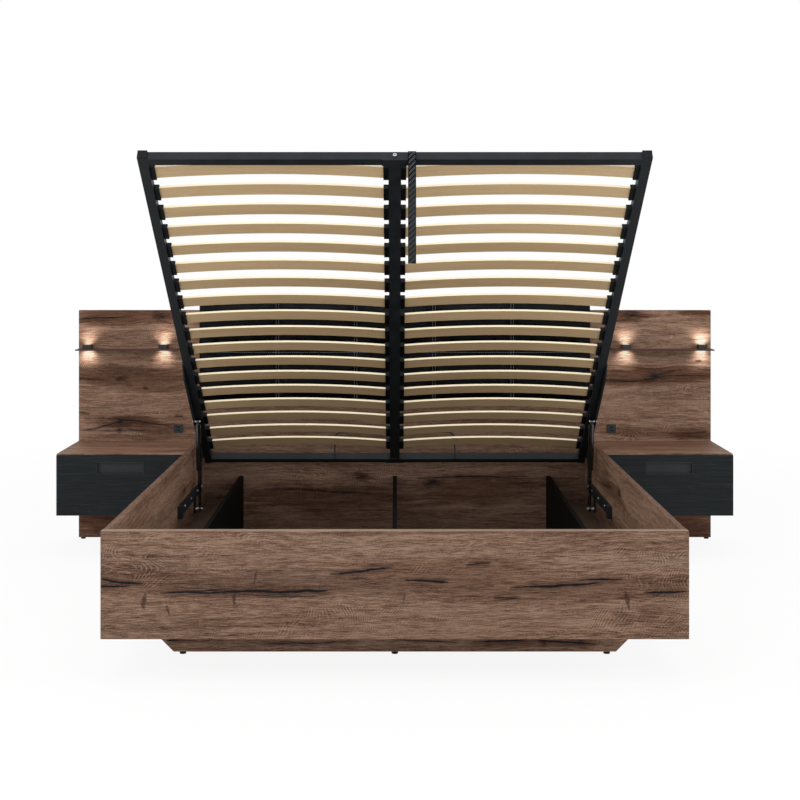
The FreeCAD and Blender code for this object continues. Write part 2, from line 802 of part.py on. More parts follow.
def slats():
    """Two rows of bowed slats, their ends in plastic holders on the side tubes and the centre rail."""
    slat = slat_blank()
    y_middle = foot_bar_inner_y + first_slat_gap + slat_width / 2
    z_middle = frame_bottom + slat_rise + slat_thickness / 2
    holders = []
    for x0 in (centre_rail_width / 2, tube_inner - holder_depth):
        holder = block(x0, x0 + holder_depth, y_middle - holder_length / 2, y_middle + holder_length / 2,
                       z_middle - holder_height / 2, z_middle + holder_height / 2)
        holders.append(holder.cut(slat))

    def row(shape):
        """Copies of a piece along the frame."""
        copies = []
        for index in range(slat_count):
            copies.append(raised(shape.translated(Vec(0, index * slat_pitch, 0))))
        return copies

    right = row(slat)
    save("right_slats", *right)
    save("left_slats", *[mirrored(piece) for piece in right])
    for name, holder in zip(("centre_slat_holders", "outer_slat_holders"), holders):
        placed = row(holder)
        save(name, *placed, *[mirrored(piece) for piece in placed])


def lift_brackets():
    """Plates on the outside of the side tubes, deeper under the tube where the strut hangs."""
    head_y = head_end_y - lift_bracket_start
    far_y = head_y - lift_bracket_length
    top = frame_top - lift_bracket_top_gap
    deep = frame_bottom - lift_bracket_drop
    outline = [(head_y, top), (head_y, frame_bottom - lift_bracket_head_drop),
               (head_y - lift_bracket_slope, deep), (far_y + lift_bracket_slope, deep),
               (far_y, frame_bottom), (far_y, top)]
    plate = plate_x(outline, frame_half, lift_bracket_outer).cut(hinge_pin())
    bolts = [bracket_bolt(y) for y in bracket_bolt_places()]
    for bolt in bolts:
        plate = plate.cut(bolt)
    plate = plate.cut(round_x(frame_half - overrun, lift_bracket_outer + overrun, upper_pin_y, upper_pin_z,
                              strut_pin_diameter / 2))
    save("lift_brackets", *pair(raised(plate)))
    save("hinge_pins", *pair(raised(hinge_pin())))
    placed = [raised(bolt) for bolt in bolts]
    save("bracket_bolts", *placed, *[mirrored(bolt) for bolt in placed])


def mattress_retainer():
    """A wire bow with two legs against the head bar's inner side."""
    half = retainer_width / 2
    top = frame_top + retainer_rise
    y = head_bar_inner_y - retainer_wire / 2
    bend = retainer_bend
    corner = bend * (1 - math.sqrt(0.5))
    edges = [
        Part.LineSegment(Vec(-half, y, frame_bottom), Vec(-half, y, top - bend)).toShape(),
        Part.Arc(Vec(-half, y, top - bend), Vec(-half + corner, y, top - corner),
                 Vec(-half + bend, y, top)).toShape(),
        Part.LineSegment(Vec(-half + bend, y, top), Vec(half - bend, y, top)).toShape(),
        Part.Arc(Vec(half - bend, y, top), Vec(half - corner, y, top - corner),
                 Vec(half, y, top - bend)).toShape(),
        Part.LineSegment(Vec(half, y, top - bend), Vec(half, y, frame_bottom)).toShape(),
    ]
    section = Part.Wire(Part.makeCircle(retainer_wire / 2, Vec(-half, y, frame_bottom), AXIS_Z))
    save("mattress_retainer", raised(Part.Wire(edges).makePipeShell([section], True, False)))


def pull_strap():
    """Webbing looped round the foot bar, its two plies hanging straight down in front of it."""
    bar_middle = Vec(0, (foot_bar_y + foot_bar_inner_y) / 2, frame_middle_z)
    centre = raised(Part.Vertex(bar_middle)).Point
    inner = math.hypot(end_bar_width, tube_height) / 2 + strap_bar_clearance
    outer = inner + strap_thickness
    x0 = strap_place - strap_width / 2
    x1 = x0 + strap_width
    ring = round_x(x0, x1, centre.y, centre.z, outer)
    tail = block(x0, x1, centre.y - outer, centre.y - outer + 2 * strap_thickness,
                 centre.z - strap_length, centre.z)
    loop = ring.fuse(tail).cut(round_x(x0 - overrun, x1 + overrun, centre.y, centre.z, inner))
    save("pull_strap", loop.removeSplitter())


def frame_rests():
    """Rubber-topped steel rests on the rails that carry the lowered frame's foot end."""
    y0 = foot_inner_y + rest_from_foot
    y1 = y0 + rest_length
    top = frame_bottom - seat_clearance
    shelf_top = top - rest_pad
    leg = block(rail_inner - rest_steel, rail_inner, y0, y1, shelf_top - rest_leg, shelf_top)
    shelf = block(rail_inner - rest_reach, rail_inner, y0, y1, shelf_top - rest_steel, shelf_top)
    pad = block(rail_inner - rest_reach, rail_inner - rest_steel, y0, y1, shelf_top, top)
    save("frame_rests", *pair(leg.fuse(shelf).removeSplitter()), *pair(pad))


def nightstands():
    """Two cabinets on the wings: top, sides, bottom and back, with the fixed drawer runners inside."""
    inside_0 = stand_inner + stand_board
    inside_1 = stand_outer - stand_board
    top_low = stand_top - stand_board
    floor_high = stand_bottom + stand_board
    back_front = face_y - stand_back_board
    sides = [block(stand_inner, inside_0, carcass_front_y, face_y, stand_bottom, top_low),
             block(inside_1, stand_outer, carcass_front_y, face_y, stand_bottom, top_low)]
    top = block(stand_inner, stand_outer, carcass_front_y, face_y, top_low, stand_top)
    save("nightstand_tops", *pair(top))
    save("nightstand_sides", *sides, *[mirrored(side) for side in sides])
    bottom = block(inside_0, inside_1, carcass_front_y, face_y, stand_bottom, floor_high)
    save("nightstand_bottoms", *pair(bottom))
    save("nightstand_backs", *pair(block(inside_0, inside_1, back_front, face_y, floor_high, top_low)))

    high = runner_bottom + runner_height
    end_y = carcass_front_y + drawer_length
    channels = []
    slides = []
    for wall, inward in ((inside_0, 1), (inside_1, -1)):
        mouth = wall + inward * runner_channel_depth
        web = wall + inward * runner_channel
        drawer_face = wall + inward * runner_gap
        tongue = web + inward * seat_clearance
        channel = block(min(wall, mouth), max(wall, mouth), carcass_front_y, end_y, runner_bottom, high)
        groove = block(min(web, mouth + inward * overrun), max(web, mouth + inward * overrun),
                       carcass_front_y - overrun, end_y + overrun,
                       runner_bottom + runner_channel, high - runner_channel)
        channels.append(channel.cut(groove))
        slides.append(block(min(tongue, drawer_face), max(tongue, drawer_face), carcass_front_y, end_y,
                            runner_bottom + runner_channel + seat_clearance,
                            high - runner_channel - seat_clearance))
    save("fixed_runners", *channels, *[mirrored(channel) for channel in channels])
    slides = Part.makeCompound(slides)
    save_sides("drawer_slides", slides)


def drawers():
    """Drawer box, front and flush cup handle of each nightstand."""
    top = drawer_bottom_z + drawer_height
    floor_high = drawer_bottom_z + drawer_floor
    back_y0 = drawer_back_y - drawer_side
    box = [
        block(drawer_inner, drawer_inner + drawer_side, carcass_front_y, drawer_back_y,
              drawer_bottom_z, top),
        block(drawer_outer - drawer_side, drawer_outer, carcass_front_y, drawer_back_y,
              drawer_bottom_z, top),
        block(drawer_inner + drawer_side, drawer_outer - drawer_side, back_y0, drawer_back_y,
              drawer_bottom_z, top),
        block(drawer_inner + drawer_side, drawer_outer - drawer_side, carcass_front_y, back_y0,
              drawer_bottom_z, floor_high),
    ]
    save_sides("drawer_box", Part.makeCompound(box))

    x0 = stand_middle - handle_width / 2
    x1 = stand_middle + handle_width / 2
    handle_top = stand_top - handle_drop
    handle_bottom = handle_top - handle_height
    pocket_y = stand_front_y + handle_depth
    front = board(stand_inner + front_reveal, stand_outer - front_reveal, stand_front_y, carcass_front_y,
                  stand_bottom + front_reveal, stand_top - front_top_reveal)
    pocket = block(x0, x1, stand_front_y - overrun, pocket_y, handle_bottom, handle_top)
    save_sides("drawer_front", front.cut(pocket))
    rim_y = stand_front_y - handle_rim
    cup = block(x0, x1, rim_y, pocket_y, handle_bottom, handle_top)
    hollow = block(x0 + handle_wall, x1 - handle_wall, rim_y - overrun, pocket_y - handle_wall,
                   handle_bottom + handle_wall, handle_top - handle_wall)
    save_sides("drawer_handle", cup.cut(hollow))


def lamps():
    """Narrow ledges on the wings with small lamps that shine up and, through the ledge, down."""
    low = ledge_top - ledge_thickness
    ledge = block(wing_outer - ledge_length, wing_outer, face_y - ledge_depth, face_y, low, ledge_top)
    nose = [e for e in ledge.Edges if e.BoundBox.YMax < face_y - ledge_depth / 2 and e.Length > ledge_depth]
    ledge = ledge.makeFillet(ledge_nose, nose)
    lamp_back = face_y - lamp_wall_gap
    lamp_middle = lamp_back - lamp_depth / 2
    housings = []
    lenses = []
    for x in lamp_places:
        lower = round_z(low, ledge_top, x, lamp_middle, lower_lens_diameter / 2)
        ledge = ledge.cut(lower)
        body = block(x - lamp_width / 2, x + lamp_width / 2, lamp_back - lamp_depth, lamp_back,
                     ledge_top, ledge_top + lamp_height)
        upright = [e for e in body.Edges if e.Length < lamp_depth and e.BoundBox.ZLength > lamp_height / 2]
        body = body.makeFillet(lamp_edge, upright)
        upper = block(x - lens_length / 2, x + lens_length / 2, lamp_middle - lens_width / 2,
                      lamp_middle + lens_width / 2, ledge_top + lamp_height - lens_thickness,
                      ledge_top + lamp_height)
        housings.append(body.cut(upper))
        lenses.extend([lower, upper])
    save("lamp_ledges", *pair(ledge))
    save("lamp_housings", *housings, *[mirrored(body) for body in housings])
    save("lamp_lenses", *lenses, *[mirrored(lens) for lens in lenses])


def sockets():
    """Double charging sockets in the wings, beside the mattress."""
    z = stand_top + socket_above_stand
    plate = block(socket_place - socket_width / 2, socket_place + socket_width / 2,
                  face_y - socket_proud, face_y, z - socket_height / 2, z + socket_height / 2)
    body = plate.fuse(socket_body()).removeSplitter()
    tongues = []
    for side in (-1, 1):
        port_z = z + side * port_spacing / 2
        back = face_y - socket_proud + port_depth
        port = block(socket_place - port_width / 2, socket_place + port_width / 2,
                     face_y - socket_proud - overrun, back,
                     port_z - port_height / 2, port_z + port_height / 2)
        body = body.cut(port)
        tongues.append(block(socket_place - port_tongue_width / 2, socket_place + port_tongue_width / 2,
                             face_y, back, port_z - port_tongue / 2, port_z + port_tongue / 2))
    for tongue in tongues:
        body = body.fuse(tongue)
    save("usb_sockets", *pair(body.removeSplitter()))


footboard()
side_rails()
headboard()
headboard_pad()
base()
corner_brackets()
base_plates()
strut_pins()
struts()
frame_tubes()
slats()
lift_brackets()
mattress_retainer()
pull_strap()
frame_rests()
nightstands()
drawers()
lamps()
sockets()
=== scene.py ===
import math

import bpy
import numpy as np
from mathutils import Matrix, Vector


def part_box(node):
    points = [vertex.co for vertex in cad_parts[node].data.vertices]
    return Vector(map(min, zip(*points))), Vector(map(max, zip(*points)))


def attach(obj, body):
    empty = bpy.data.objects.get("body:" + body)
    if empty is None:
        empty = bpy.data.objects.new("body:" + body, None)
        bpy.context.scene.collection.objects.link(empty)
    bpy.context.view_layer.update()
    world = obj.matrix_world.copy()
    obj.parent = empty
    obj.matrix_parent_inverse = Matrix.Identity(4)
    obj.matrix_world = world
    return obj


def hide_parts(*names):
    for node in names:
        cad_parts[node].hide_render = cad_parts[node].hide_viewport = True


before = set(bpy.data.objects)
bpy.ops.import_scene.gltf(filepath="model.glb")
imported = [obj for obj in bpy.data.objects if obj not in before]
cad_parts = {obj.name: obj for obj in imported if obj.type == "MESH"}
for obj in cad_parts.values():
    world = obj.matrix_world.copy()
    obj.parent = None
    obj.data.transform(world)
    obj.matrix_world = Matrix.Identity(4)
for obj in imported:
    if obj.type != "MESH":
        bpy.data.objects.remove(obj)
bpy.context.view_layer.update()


class Value:
    """One output of a node tree. Sums, products and the like add Math nodes to that tree."""

    def __init__(self, nodes, socket):
        self.nodes = nodes
        self.socket = socket

    def math(self, operation, *values):
        return self.nodes.add("ShaderNodeMath", {"operation": operation}, dict(enumerate(values)))

    def __add__(self, other):
        return self.math("ADD", self, other)

    def __sub__(self, other):
        return self.math("SUBTRACT", self, other)

    def __rsub__(self, other):
        return self.math("SUBTRACT", other, self)

    def __mul__(self, other):
        return self.math("MULTIPLY", self, other)

    def __truediv__(self, other):
        return self.math("DIVIDE", self, other)

    def __pow__(self, other):
        return self.math("POWER", self, other)

    def __abs__(self):
        return self.math("ABSOLUTE", self)

    def least(self, other):
        return self.math("MINIMUM", self, other)

    def most(self, other):
        return self.math("MAXIMUM", self, other)

    def sine(self):
        return self.math("SINE", self)

    def root(self):
        return self.math("SQRT", self)

    def exponent(self):
        return self.math("EXPONENT", self)

    def ramp(self, low, high, start=0.0, end=1.0):
        """Smooth step from start at low to end at high, held outside."""
        return self.nodes.add("ShaderNodeMapRange", {"interpolation_type": "SMOOTHSTEP"},
                              {"Value": self, "From Min": low, "From Max": high,
                               "To Min": start, "To Max": end})


class Nodes:
    """A node tree and short ways to add to it."""

    def __init__(self, tree):
        self.tree = tree

    def add(self, kind, settings, sockets, out=0):
        """A node of a kind, with its settings set first and then its sockets' values or links."""
        node = self.tree.nodes.new(kind)
        for key, value in settings.items():
            setattr(node, key, value)
        for key, value in sockets.items():
            self.feed(node.inputs[key], value)
        return Value(self, node.outputs[out])

    def feed(self, socket, value):
        if isinstance(value, Value):
            self.tree.links.new(value.socket, socket)
        else:
            socket.default_value = colour(value)

    def parts(self, vector):
        """The three numbers of a vector."""
        split = self.add("ShaderNodeSeparateXYZ", {}, {"Vector": vector})
        return [Value(self, output) for output in split.socket.node.outputs]

    def vector(self, x, y, z):
        return self.add("ShaderNodeCombineXYZ", {}, {"X": x, "Y": y, "Z": z})

    def noise(self, vector, detail=2.0, roughness=0.5):
        return self.add("ShaderNodeTexNoise", {}, {"Vector": vector, "Scale": 1.0, "Detail": detail,
                                                   "Roughness": roughness})

    def even_noise(self, scale, detail=2.0, roughness=0.5):
        """Noise of one size in all directions."""
        return self.add("ShaderNodeTexNoise", {}, {"Vector": self.place, "Scale": scale, "Detail": detail,
                                                   "Roughness": roughness})

    def mix(self, factor, first, second, blend="MIX"):
        """Second over first by a factor, for colours."""
        return self.add("ShaderNodeMix", {"data_type": "RGBA", "blend_type": blend},
                        {0: factor, 6: first, 7: second}, 2)

    def scaled(self, tint, factor):
        """A colour times a number."""
        return self.add("ShaderNodeVectorMath", {"operation": "SCALE"}, {"Vector": tint, "Scale": factor})

    def bump(self, height, strength, distance=0.001):
        return self.add("ShaderNodeBump", {}, {"Height": height, "Strength": strength, "Distance": distance})

    def seen_white(self):
        """1 for rays that show the background: from the camera, in reflections and through glass."""
        rays = self.add("ShaderNodeLightPath", {}, {}).socket.node.outputs
        kinds = [Value(self, rays["Is %s Ray" % kind]) for kind in ("Camera", "Glossy", "Transmission")]
        return kinds[0].most(kinds[1]).most(kinds[2])


class Finish(Nodes):
    """A material and the nodes that make it."""

    def __init__(self, name):
        self.material = bpy.data.materials.new(name)
        self.material.use_nodes = True
        super().__init__(self.material.node_tree)
        self.shader = self.tree.nodes["Principled BSDF"]
        self.place = self.add("ShaderNodeTexCoord", {}, {}, "Object")

    def facing(self):
        """The three numbers of the surface's direction."""
        return self.parts(self.add("ShaderNodeTexCoord", {}, {}, "Normal"))

    def shade(self, **sockets):
        """Feed the shader; an underscore in a name stands for a space."""
        for key, value in sockets.items():
            self.feed(self.shader.inputs[key.replace("_", " ")], value)
        return self.material


def colour(value):
    """Three numbers as an opaque colour; anything else as it is."""
    if isinstance(value, tuple) and len(value) == 3:
        return (*value, 1.0)
    return value


# Finishes

OAK_DEEP = (0.048, 0.022, 0.013)
OAK_MID = (0.144, 0.079, 0.051)
OAK_PALE = (0.292, 0.184, 0.128)
OAK_GREY = (0.160, 0.110, 0.081)
OAK_FLECK = (0.400, 0.280, 0.206)
OAK_STAIN = (0.44, 0.34, 0.28)
OAK_SHADE = (0.030, 0.013, 0.008)
OAK_CRACK = (0.0035, 0.0038, 0.0052)
LAMP_WHITE = (0.76, 0.74, 0.66)
LAMP_GAIN = 9.0
LAMP_REACH = 0.047
LAMP_HALF, LAMP_SPREAD = 0.0145, 0.50
GRAIN_SWAY, GRAIN_WOBBLE = 0.030, 0.010
FLECK_WAVE, FLECK_SLANT, FLECK_BEND = 860.0, 0.9, 0.007
CRACK_EDGE = 0.0006
CRACK_HALO, CRACK_HALO_LEAST = 4.0, 0.005
SPLIT_WANDER, SPLIT_SOFT, SPLIT_HARD = 0.020, -0.0040, 0.0015
KNOT_LONG, KNOT_RAGGED = 2.2, 4.2
KNOT_REACH_ALONG, KNOT_REACH_ACROSS = 3.4, 1.9
SHADE_SHARE = 0.8


def rustic_oak(name, along, across, shift, cracks=(), knots=(), stains_and_painted_shadow=(), splits=(), shade=1.0, bands=0.30,
               rays=0.30, fine=0.70, edge=None, lamps=()):
    """Brown rustic oak. Tone bands, streaks and dashes are noise drawn out along the grain; ray flecks are
    the crests of a slanted wave, bent and broken by noise, in patches. Bands, rays and fine set how strong the
    tone bands, the flecks and the dashes are. A crack (along, across, half length, rise, half thickness) is a
    dark line on an S curve; a split (along, across, half height, lean, half thickness) crosses the grain; a knot
    (along, across, radius) bends the grain round it; a stain (along, across, half length, half width, strength)
    is a soft dark cloud, and the wide clouds low on the wing panels are painted shadow below the nightstands.
    An edge tint goes on upward faces as painted light: lighter, a painted highlight; darker, painted shade. Shade
    scales the board's whole colour as painted light, for how much light the board gets. Each lamp (place, top,
    bottom) gets painted lamp light, an emission on the front of the board above and below it: a bell curve along
    the beam times a bell curve across it that widens with the distance."""
    f = Finish(name)
    axes = f.parts(f.place)
    g, a = axes["xyz".index(along)], axes["xyz".index(across)]
    t = axes[3 - "xyz".index(along) - "xyz".index(across)]
    sg, sa = shift
    slow = f.noise(f.vector(g * 2.2 + sg, a * 4.0 + sa, t * 2.0 + 3.1), 2.0) - 0.5
    quick = f.noise(f.vector(g * 14.0 - sg, a * 24.0 + sa, t * 5.0), 3.0) - 0.5
    w = a + slow * GRAIN_SWAY + quick * GRAIN_WOBBLE
    ringed = w
    for kg, ka, radius in knots:
        near = (((g - kg) / (KNOT_REACH_ALONG * radius)) ** 2.0
                + ((a - ka) / (KNOT_REACH_ACROSS * radius)) ** 2.0)
        ringed = ringed + (a - ka) * 0.9 / (near * 2.0 + 1.0)
    tones = f.noise(f.vector(g * 0.9 + sg, ringed * 10.0 + sa, t * 3.0), 4.0, 0.55)
    streaks = f.noise(f.vector(g * 5.0 - sg, ringed * 80.0 + sa, t * 20.0), 5.0, 0.70)
    dashes = f.noise(f.vector(g * 24.0 + sg, ringed * 500.0 - sa, t * 150.0), 2.0, 0.6)
    speckle = f.noise(f.vector(g * 190.0 + sg, a * 520.0 + sa, t * 150.0), 1.0, 0.6)
    broken = f.noise(f.vector(g * 42.0 + sg, a * 70.0, t * 30.0), 2.0, 0.6)
    patch = f.noise(f.vector(g * 4.0 + sg, a * 12.0 - sa, 1.7), 3.0, 0.6).ramp(0.32, 0.58)
    bent = f.noise(f.vector(g * 17.0 - sg, a * 30.0, t * 9.0), 1.0) - 0.5
    wave = ((g - a * (slow * 2.0 + FLECK_SLANT) + bent * FLECK_BEND) * FLECK_WAVE + broken * 0.6).sine()
    rayed = broken.ramp(0.40, 0.60) * patch
    flecks = wave.ramp(0.45, 1.00) * rayed
    tone = ((tones - 0.5) * (bands * 2.4) + (streaks - 0.5) * 0.85
            + ((dashes - 0.5) * 1.30 + (speckle - 0.5) * 0.65) * fine + wave * rayed * (rays * 0.15))
    tint = f.mix(tone.ramp(-0.40, 0.00), OAK_DEEP, OAK_MID)
    tint = f.mix(tone.ramp(-0.14, 0.30), tint, OAK_PALE)
    greyed = f.noise(f.vector(g * 1.4 - sg, ringed * 16.0 - sa, t * 3.0), 4.0, 0.6).ramp(0.50, 0.70)
    tint = f.mix(greyed * 0.45, tint, f.scaled(f.vector(*OAK_GREY), tone.ramp(-0.5, 0.5, 0.40, 1.60)))
    tint = f.mix(flecks * rays, tint, OAK_FLECK)
    ragged = f.noise(f.vector(g * 34.0, a * 120.0, sg), 3.0, 0.65)
    cloudy, dark, core = tones * 0.0, tones * 0.0, tones * 0.0
    # A cloud darkens the board; the wide clouds low on the wing panels are painted shadow below the nightstands.
    for cg, ca, half_along, half_across, strength in stains_and_painted_shadow:
        spread = ((g - cg) / half_along) ** 2.0 + ((w - ca) / half_across) ** 2.0
        cloudy = cloudy.most((spread + (streaks - 0.5) * 2.4 + quick * 0.8).ramp(1.5, 0.4) * strength)
    for cg, ca, half, rise, thick in cracks:
        run = ((g - cg) / half).most(-1.0).least(1.0)
        taper = 1.0 - run * run
        off = abs(w - run * (1.5 - run * run * 0.5) * rise - ca)
        width = taper.root() * thick * ragged.ramp(0.30, 0.70, 0.8, 1.6) - CRACK_EDGE
        core = core.most((width - off).ramp(-CRACK_EDGE, CRACK_EDGE))
        halo = 1.0 - off / (thick * CRACK_HALO + CRACK_HALO_LEAST)
        dark = dark.most(halo.most(0.0) * taper.root() * SHADE_SHARE)
    for pg, pa, half, lean, thick in splits:
        run = ((a - pa) / half).most(-1.0).least(1.0)
        taper = (1.0 - run * run) * run.ramp(-1.0, 0.8, 0.30, 1.0)
        off = abs(g - pg - run * lean + quick * SPLIT_WANDER)
        inside = (taper * thick - off).ramp(SPLIT_SOFT, SPLIT_HARD)
        dark = dark.most(inside * taper.ramp(0.0, 0.25) * SHADE_SHARE)
    for kg, ka, radius in knots:
        ring = (((g - kg) / KNOT_LONG) ** 2.0 + (w - ka) ** 2.0).root() / radius
        ring = ring + (ragged - 0.5) * KNOT_RAGGED
        dark = dark.most(ring.ramp(1.7, 0.4))
        core = core.most(ring.ramp(0.40, 0.0) * 0.9)
    tint = f.mix(cloudy, tint, f.mix(1.0, tint, OAK_STAIN, "MULTIPLY"))
    tint = f.mix(dark * ragged.ramp(0.30, 0.60, 0.55, 1.0), tint, OAK_SHADE)
    tint = f.mix(core, tint, OAK_CRACK)
    # Painted light: upward faces get the edge tint, a painted highlight where it is lighter and painted shade
    # where it is darker.
    if edge:
        up = f.facing()[2]
        tint = f.mix(up.ramp(0.6, 0.9) * 0.6, tint, edge)
    # Painted light: shade scales the board's whole colour, set board by board to make up for how much light each
    # gets.
    if shade != 1.0:
        tint = f.scaled(tint, shade)
    glow = {}
    # Painted light: lamp light painted as emission on the front of the board, above and below each lamp.
    if lamps:
        light = tones * 0.0
        forward = f.facing()[1]
        for x, top, bottom in lamps:
            for rise in (a - top, bottom - a):
                wide = (g - x) / (rise.most(0.0) * LAMP_SPREAD + LAMP_HALF)
                fall = (0.0 - wide * wide - (rise / LAMP_REACH) ** 2.0).exponent()
                light = light + fall * rise.ramp(-0.003, 0.002) * LAMP_GAIN
        painted_lamp_pool = f.scaled(tint, light * forward.ramp(-0.5, -0.8))
        glow = {"Emission_Color": f.mix(1.0, painted_lamp_pool, LAMP_WHITE, "DARKEN"), "Emission_Strength": 1.0}
    depth = dashes * 0.5 + streaks * 0.3 + flecks * 0.12 - core * 1.5
    return f.shade(Base_Color=tint, Roughness=streaks.ramp(0.2, 0.8, 0.66, 0.54),
                   Normal=f.bump(depth, 0.30, 0.0010), Specular_IOR_Level=0.11, **glow)


def black_oak(name, shift):
    """Black-stained oak: near-black with fine paler grain lines along the board and shallow pores."""
    f = Finish(name)
    x, y, z = f.parts(f.place)
    bend = f.noise(f.vector(x * 2.4 + shift, z * 6.0, 0.4), 2.0) - 0.5
    w = z + bend * 0.05
    lines = (f.noise(f.vector(x * 1.1 + shift, w * 26.0, y * 4.0), 3.0, 0.55) * 60.0).sine()
    streaks = f.noise(f.vector(x * 5.0, w * 210.0 + shift, y * 30.0), 3.0, 0.6)
    pores = f.noise(f.vector(x * 30.0 + shift, w * 700.0, y * 90.0), 2.0, 0.6)
    tint = f.mix(streaks.ramp(0.3, 0.72), (0.0028, 0.0045, 0.0055), (0.0066, 0.0096, 0.0108))
    tint = f.mix(lines.ramp(0.55, 1.0) * streaks.ramp(0.35, 0.65) * 0.6, tint, (0.0150, 0.0195, 0.0215))
    tint = f.mix(pores.ramp(0.44, 0.34) * 0.6, tint, (0.0025, 0.0032, 0.0040))
    return f.shade(Base_Color=tint, Roughness=streaks.ramp(0.2, 0.8, 0.62, 0.50),
                   Normal=f.bump(streaks * 0.5 + pores * 0.5, 0.35, 0.0008), Specular_IOR_Level=0.16)


def plain_board(name, tint_low, tint_high, along="x", roughness=0.6, sheen=0.3):
    """Plain faced board: a faint printed grain along the board, with pores."""
    f = Finish(name)
    axes = f.parts(f.place)
    spans = [6.0 if letter == along else 130.0 for letter in "xyz"]
    fine = [30.0 if letter == along else 700.0 for letter in "xyz"]
    grain = f.noise(f.vector(*[c * s for c, s in zip(axes, spans)]), 4.0, 0.6)
    pores = f.noise(f.vector(*[c * s for c, s in zip(axes, fine)]), 2.0, 0.6)
    tint = f.mix((grain * 0.7 + f.even_noise(3.0) * 0.3).ramp(0.3, 0.7), tint_low, tint_high)
    return f.shade(Base_Color=tint, Roughness=pores.ramp(0.3, 0.7, roughness + 0.06, roughness - 0.05),
                   Normal=f.bump(pores * 0.6 + grain * 0.4, 0.25, 0.0006), Specular_IOR_Level=sheen)


LIFT = math.radians(36.1)
PLY_WAVE = 2300.0


def birch_slat(name):
    """Lacquered birch ply: warm beige faces with fine fibres along the slat, and paler edges in thin plies; the
    plies are real, and part of the edges' paleness is a painted highlight. The edges are told by how far the
    surface faces along the raised frame."""
    f = Finish(name)
    x, y, z = f.parts(f.place)
    up_frame = z * math.sin(LIFT) - y * math.cos(LIFT)
    off_frame = y * math.sin(LIFT) + z * math.cos(LIFT)
    facing = f.facing()
    edge = abs(facing[2] * math.sin(LIFT) - facing[1] * math.cos(LIFT)).ramp(0.5, 0.8)
    board = f.noise(f.vector(x * 0.4, up_frame * 9.3, 2.0), 1.0)
    streaks = f.noise(f.vector(x * 5.0, up_frame * 260.0, off_frame * 50.0), 4.0, 0.62)
    fibres = f.noise(f.vector(x * 45.0, up_frame * 900.0, off_frame * 300.0), 2.0, 0.6)
    tint = f.mix((streaks * 0.6 + board * 0.5).ramp(0.35, 0.75), (0.446, 0.311, 0.168), (0.580, 0.420, 0.240))
    tint = f.mix(fibres.ramp(0.42, 0.30) * 0.4, tint, (0.300, 0.195, 0.095))
    plies = (off_frame * PLY_WAVE).sine().ramp(0.2, 0.9)
    # Edges in pale plies: the plies are real, and part of their paleness is a painted highlight.
    tint = f.mix(edge, tint, f.mix(plies * 0.5, (0.86, 0.76, 0.55), (0.66, 0.52, 0.32)))
    return f.shade(Base_Color=tint, Roughness=streaks.ramp(0.2, 0.8, 0.50, 0.42),
                   Normal=f.bump(fibres * 0.6 + streaks * 0.4, 0.2, 0.0005), Specular_IOR_Level=0.35)


def coated_steel(name, tint, roughness=0.42, sheen=0.3, under=1.0):
    """Powder-coated steel: a fine orange-peel skin, a little cloudier and rougher in patches. Faces that look
    down are darker by a share under: painted shade."""
    f = Finish(name)
    cloud = f.even_noise(14.0, 3.0)
    low = tuple(c * 0.82 for c in tint)
    high = tuple(c * 1.18 for c in tint)
    skin = f.mix(cloud.ramp(0.3, 0.7), low, high)
    # Painted shade: faces that look down are darkened.
    if under != 1.0:
        rise = f.facing()[2]
        skin = f.scaled(skin, rise.ramp(-0.75, -0.2, under, 1.0))
    return f.shade(Base_Color=skin, Roughness=cloud.ramp(0.25, 0.75, roughness - 0.06, roughness + 0.07),
                   Normal=f.bump(f.even_noise(900.0), 0.12, 0.0004), Specular_IOR_Level=sheen)


def moulded_plastic(name, tint, roughness=0.5, sheen=0.3, front=None):
    """Moulded plastic with a fine spark-eroded grain; near-black where it lies behind a front plane: painted shade
    in the hollows.
    """
    f = Finish(name)
    grain = f.even_noise(1500.0, 2.0, 0.7)
    low = tuple(c * 0.85 for c in tint)
    high = tuple(c * 1.2 for c in tint)
    body = f.mix(f.even_noise(30.0).ramp(0.3, 0.7), low, high)
    # Painted shade: what lies behind the front plane, the hollows of the ports, turns near-black.
    if front is not None:
        body = f.mix((f.parts(f.place)[1] - front).ramp(0.0012, 0.0022), body, (0.0012, 0.0012, 0.0014))
    return f.shade(Base_Color=body, Roughness=grain.ramp(0.3, 0.7, roughness - 0.07, roughness + 0.07),
                   Normal=f.bump(grain, 0.2, 0.0003), Specular_IOR_Level=sheen)


def zinc_steel(name, tint, roughness=0.38):
    """Plated steel: fine turned lines and a cloudy spangle."""
    f = Finish(name)
    x, y, z = f.parts(f.place)
    lines = f.noise(f.vector(x * 2600.0, y * 40.0, z * 40.0), 2.0)
    spangle = f.even_noise(160.0, 3.0, 0.6)
    low = tuple(c * 0.8 for c in tint)
    return f.shade(Base_Color=f.mix(spangle.ramp(0.3, 0.7), low, tint), Metallic=1.0,
                   Roughness=(spangle * 0.5 + lines * 0.5).ramp(0.3, 0.7, roughness - 0.08, roughness + 0.10),
                   Normal=f.bump(lines, 0.1, 0.0003))


def quilted_leather(name):
    """Black leatherette: pebbled grain of small cells, a soft sheen that breaks up over the pebbles."""
    f = Finish(name)
    pebble = f.add("ShaderNodeTexVoronoi", {"feature": "DISTANCE_TO_EDGE"},
                   {"Vector": f.place, "Scale": 420.0}).ramp(0.0, 0.25)
    cloud = f.even_noise(11.0, 3.0)
    tint = f.mix((pebble * 0.6 + cloud * 0.4).ramp(0.2, 0.9), (0.0008, 0.0010, 0.0014), (0.0022, 0.0027, 0.0034))
    return f.shade(Base_Color=tint, Roughness=pebble.ramp(0.1, 0.9, 0.58, 0.42),
                   Normal=f.bump(pebble, 0.35, 0.0006), Specular_IOR_Level=0.07)


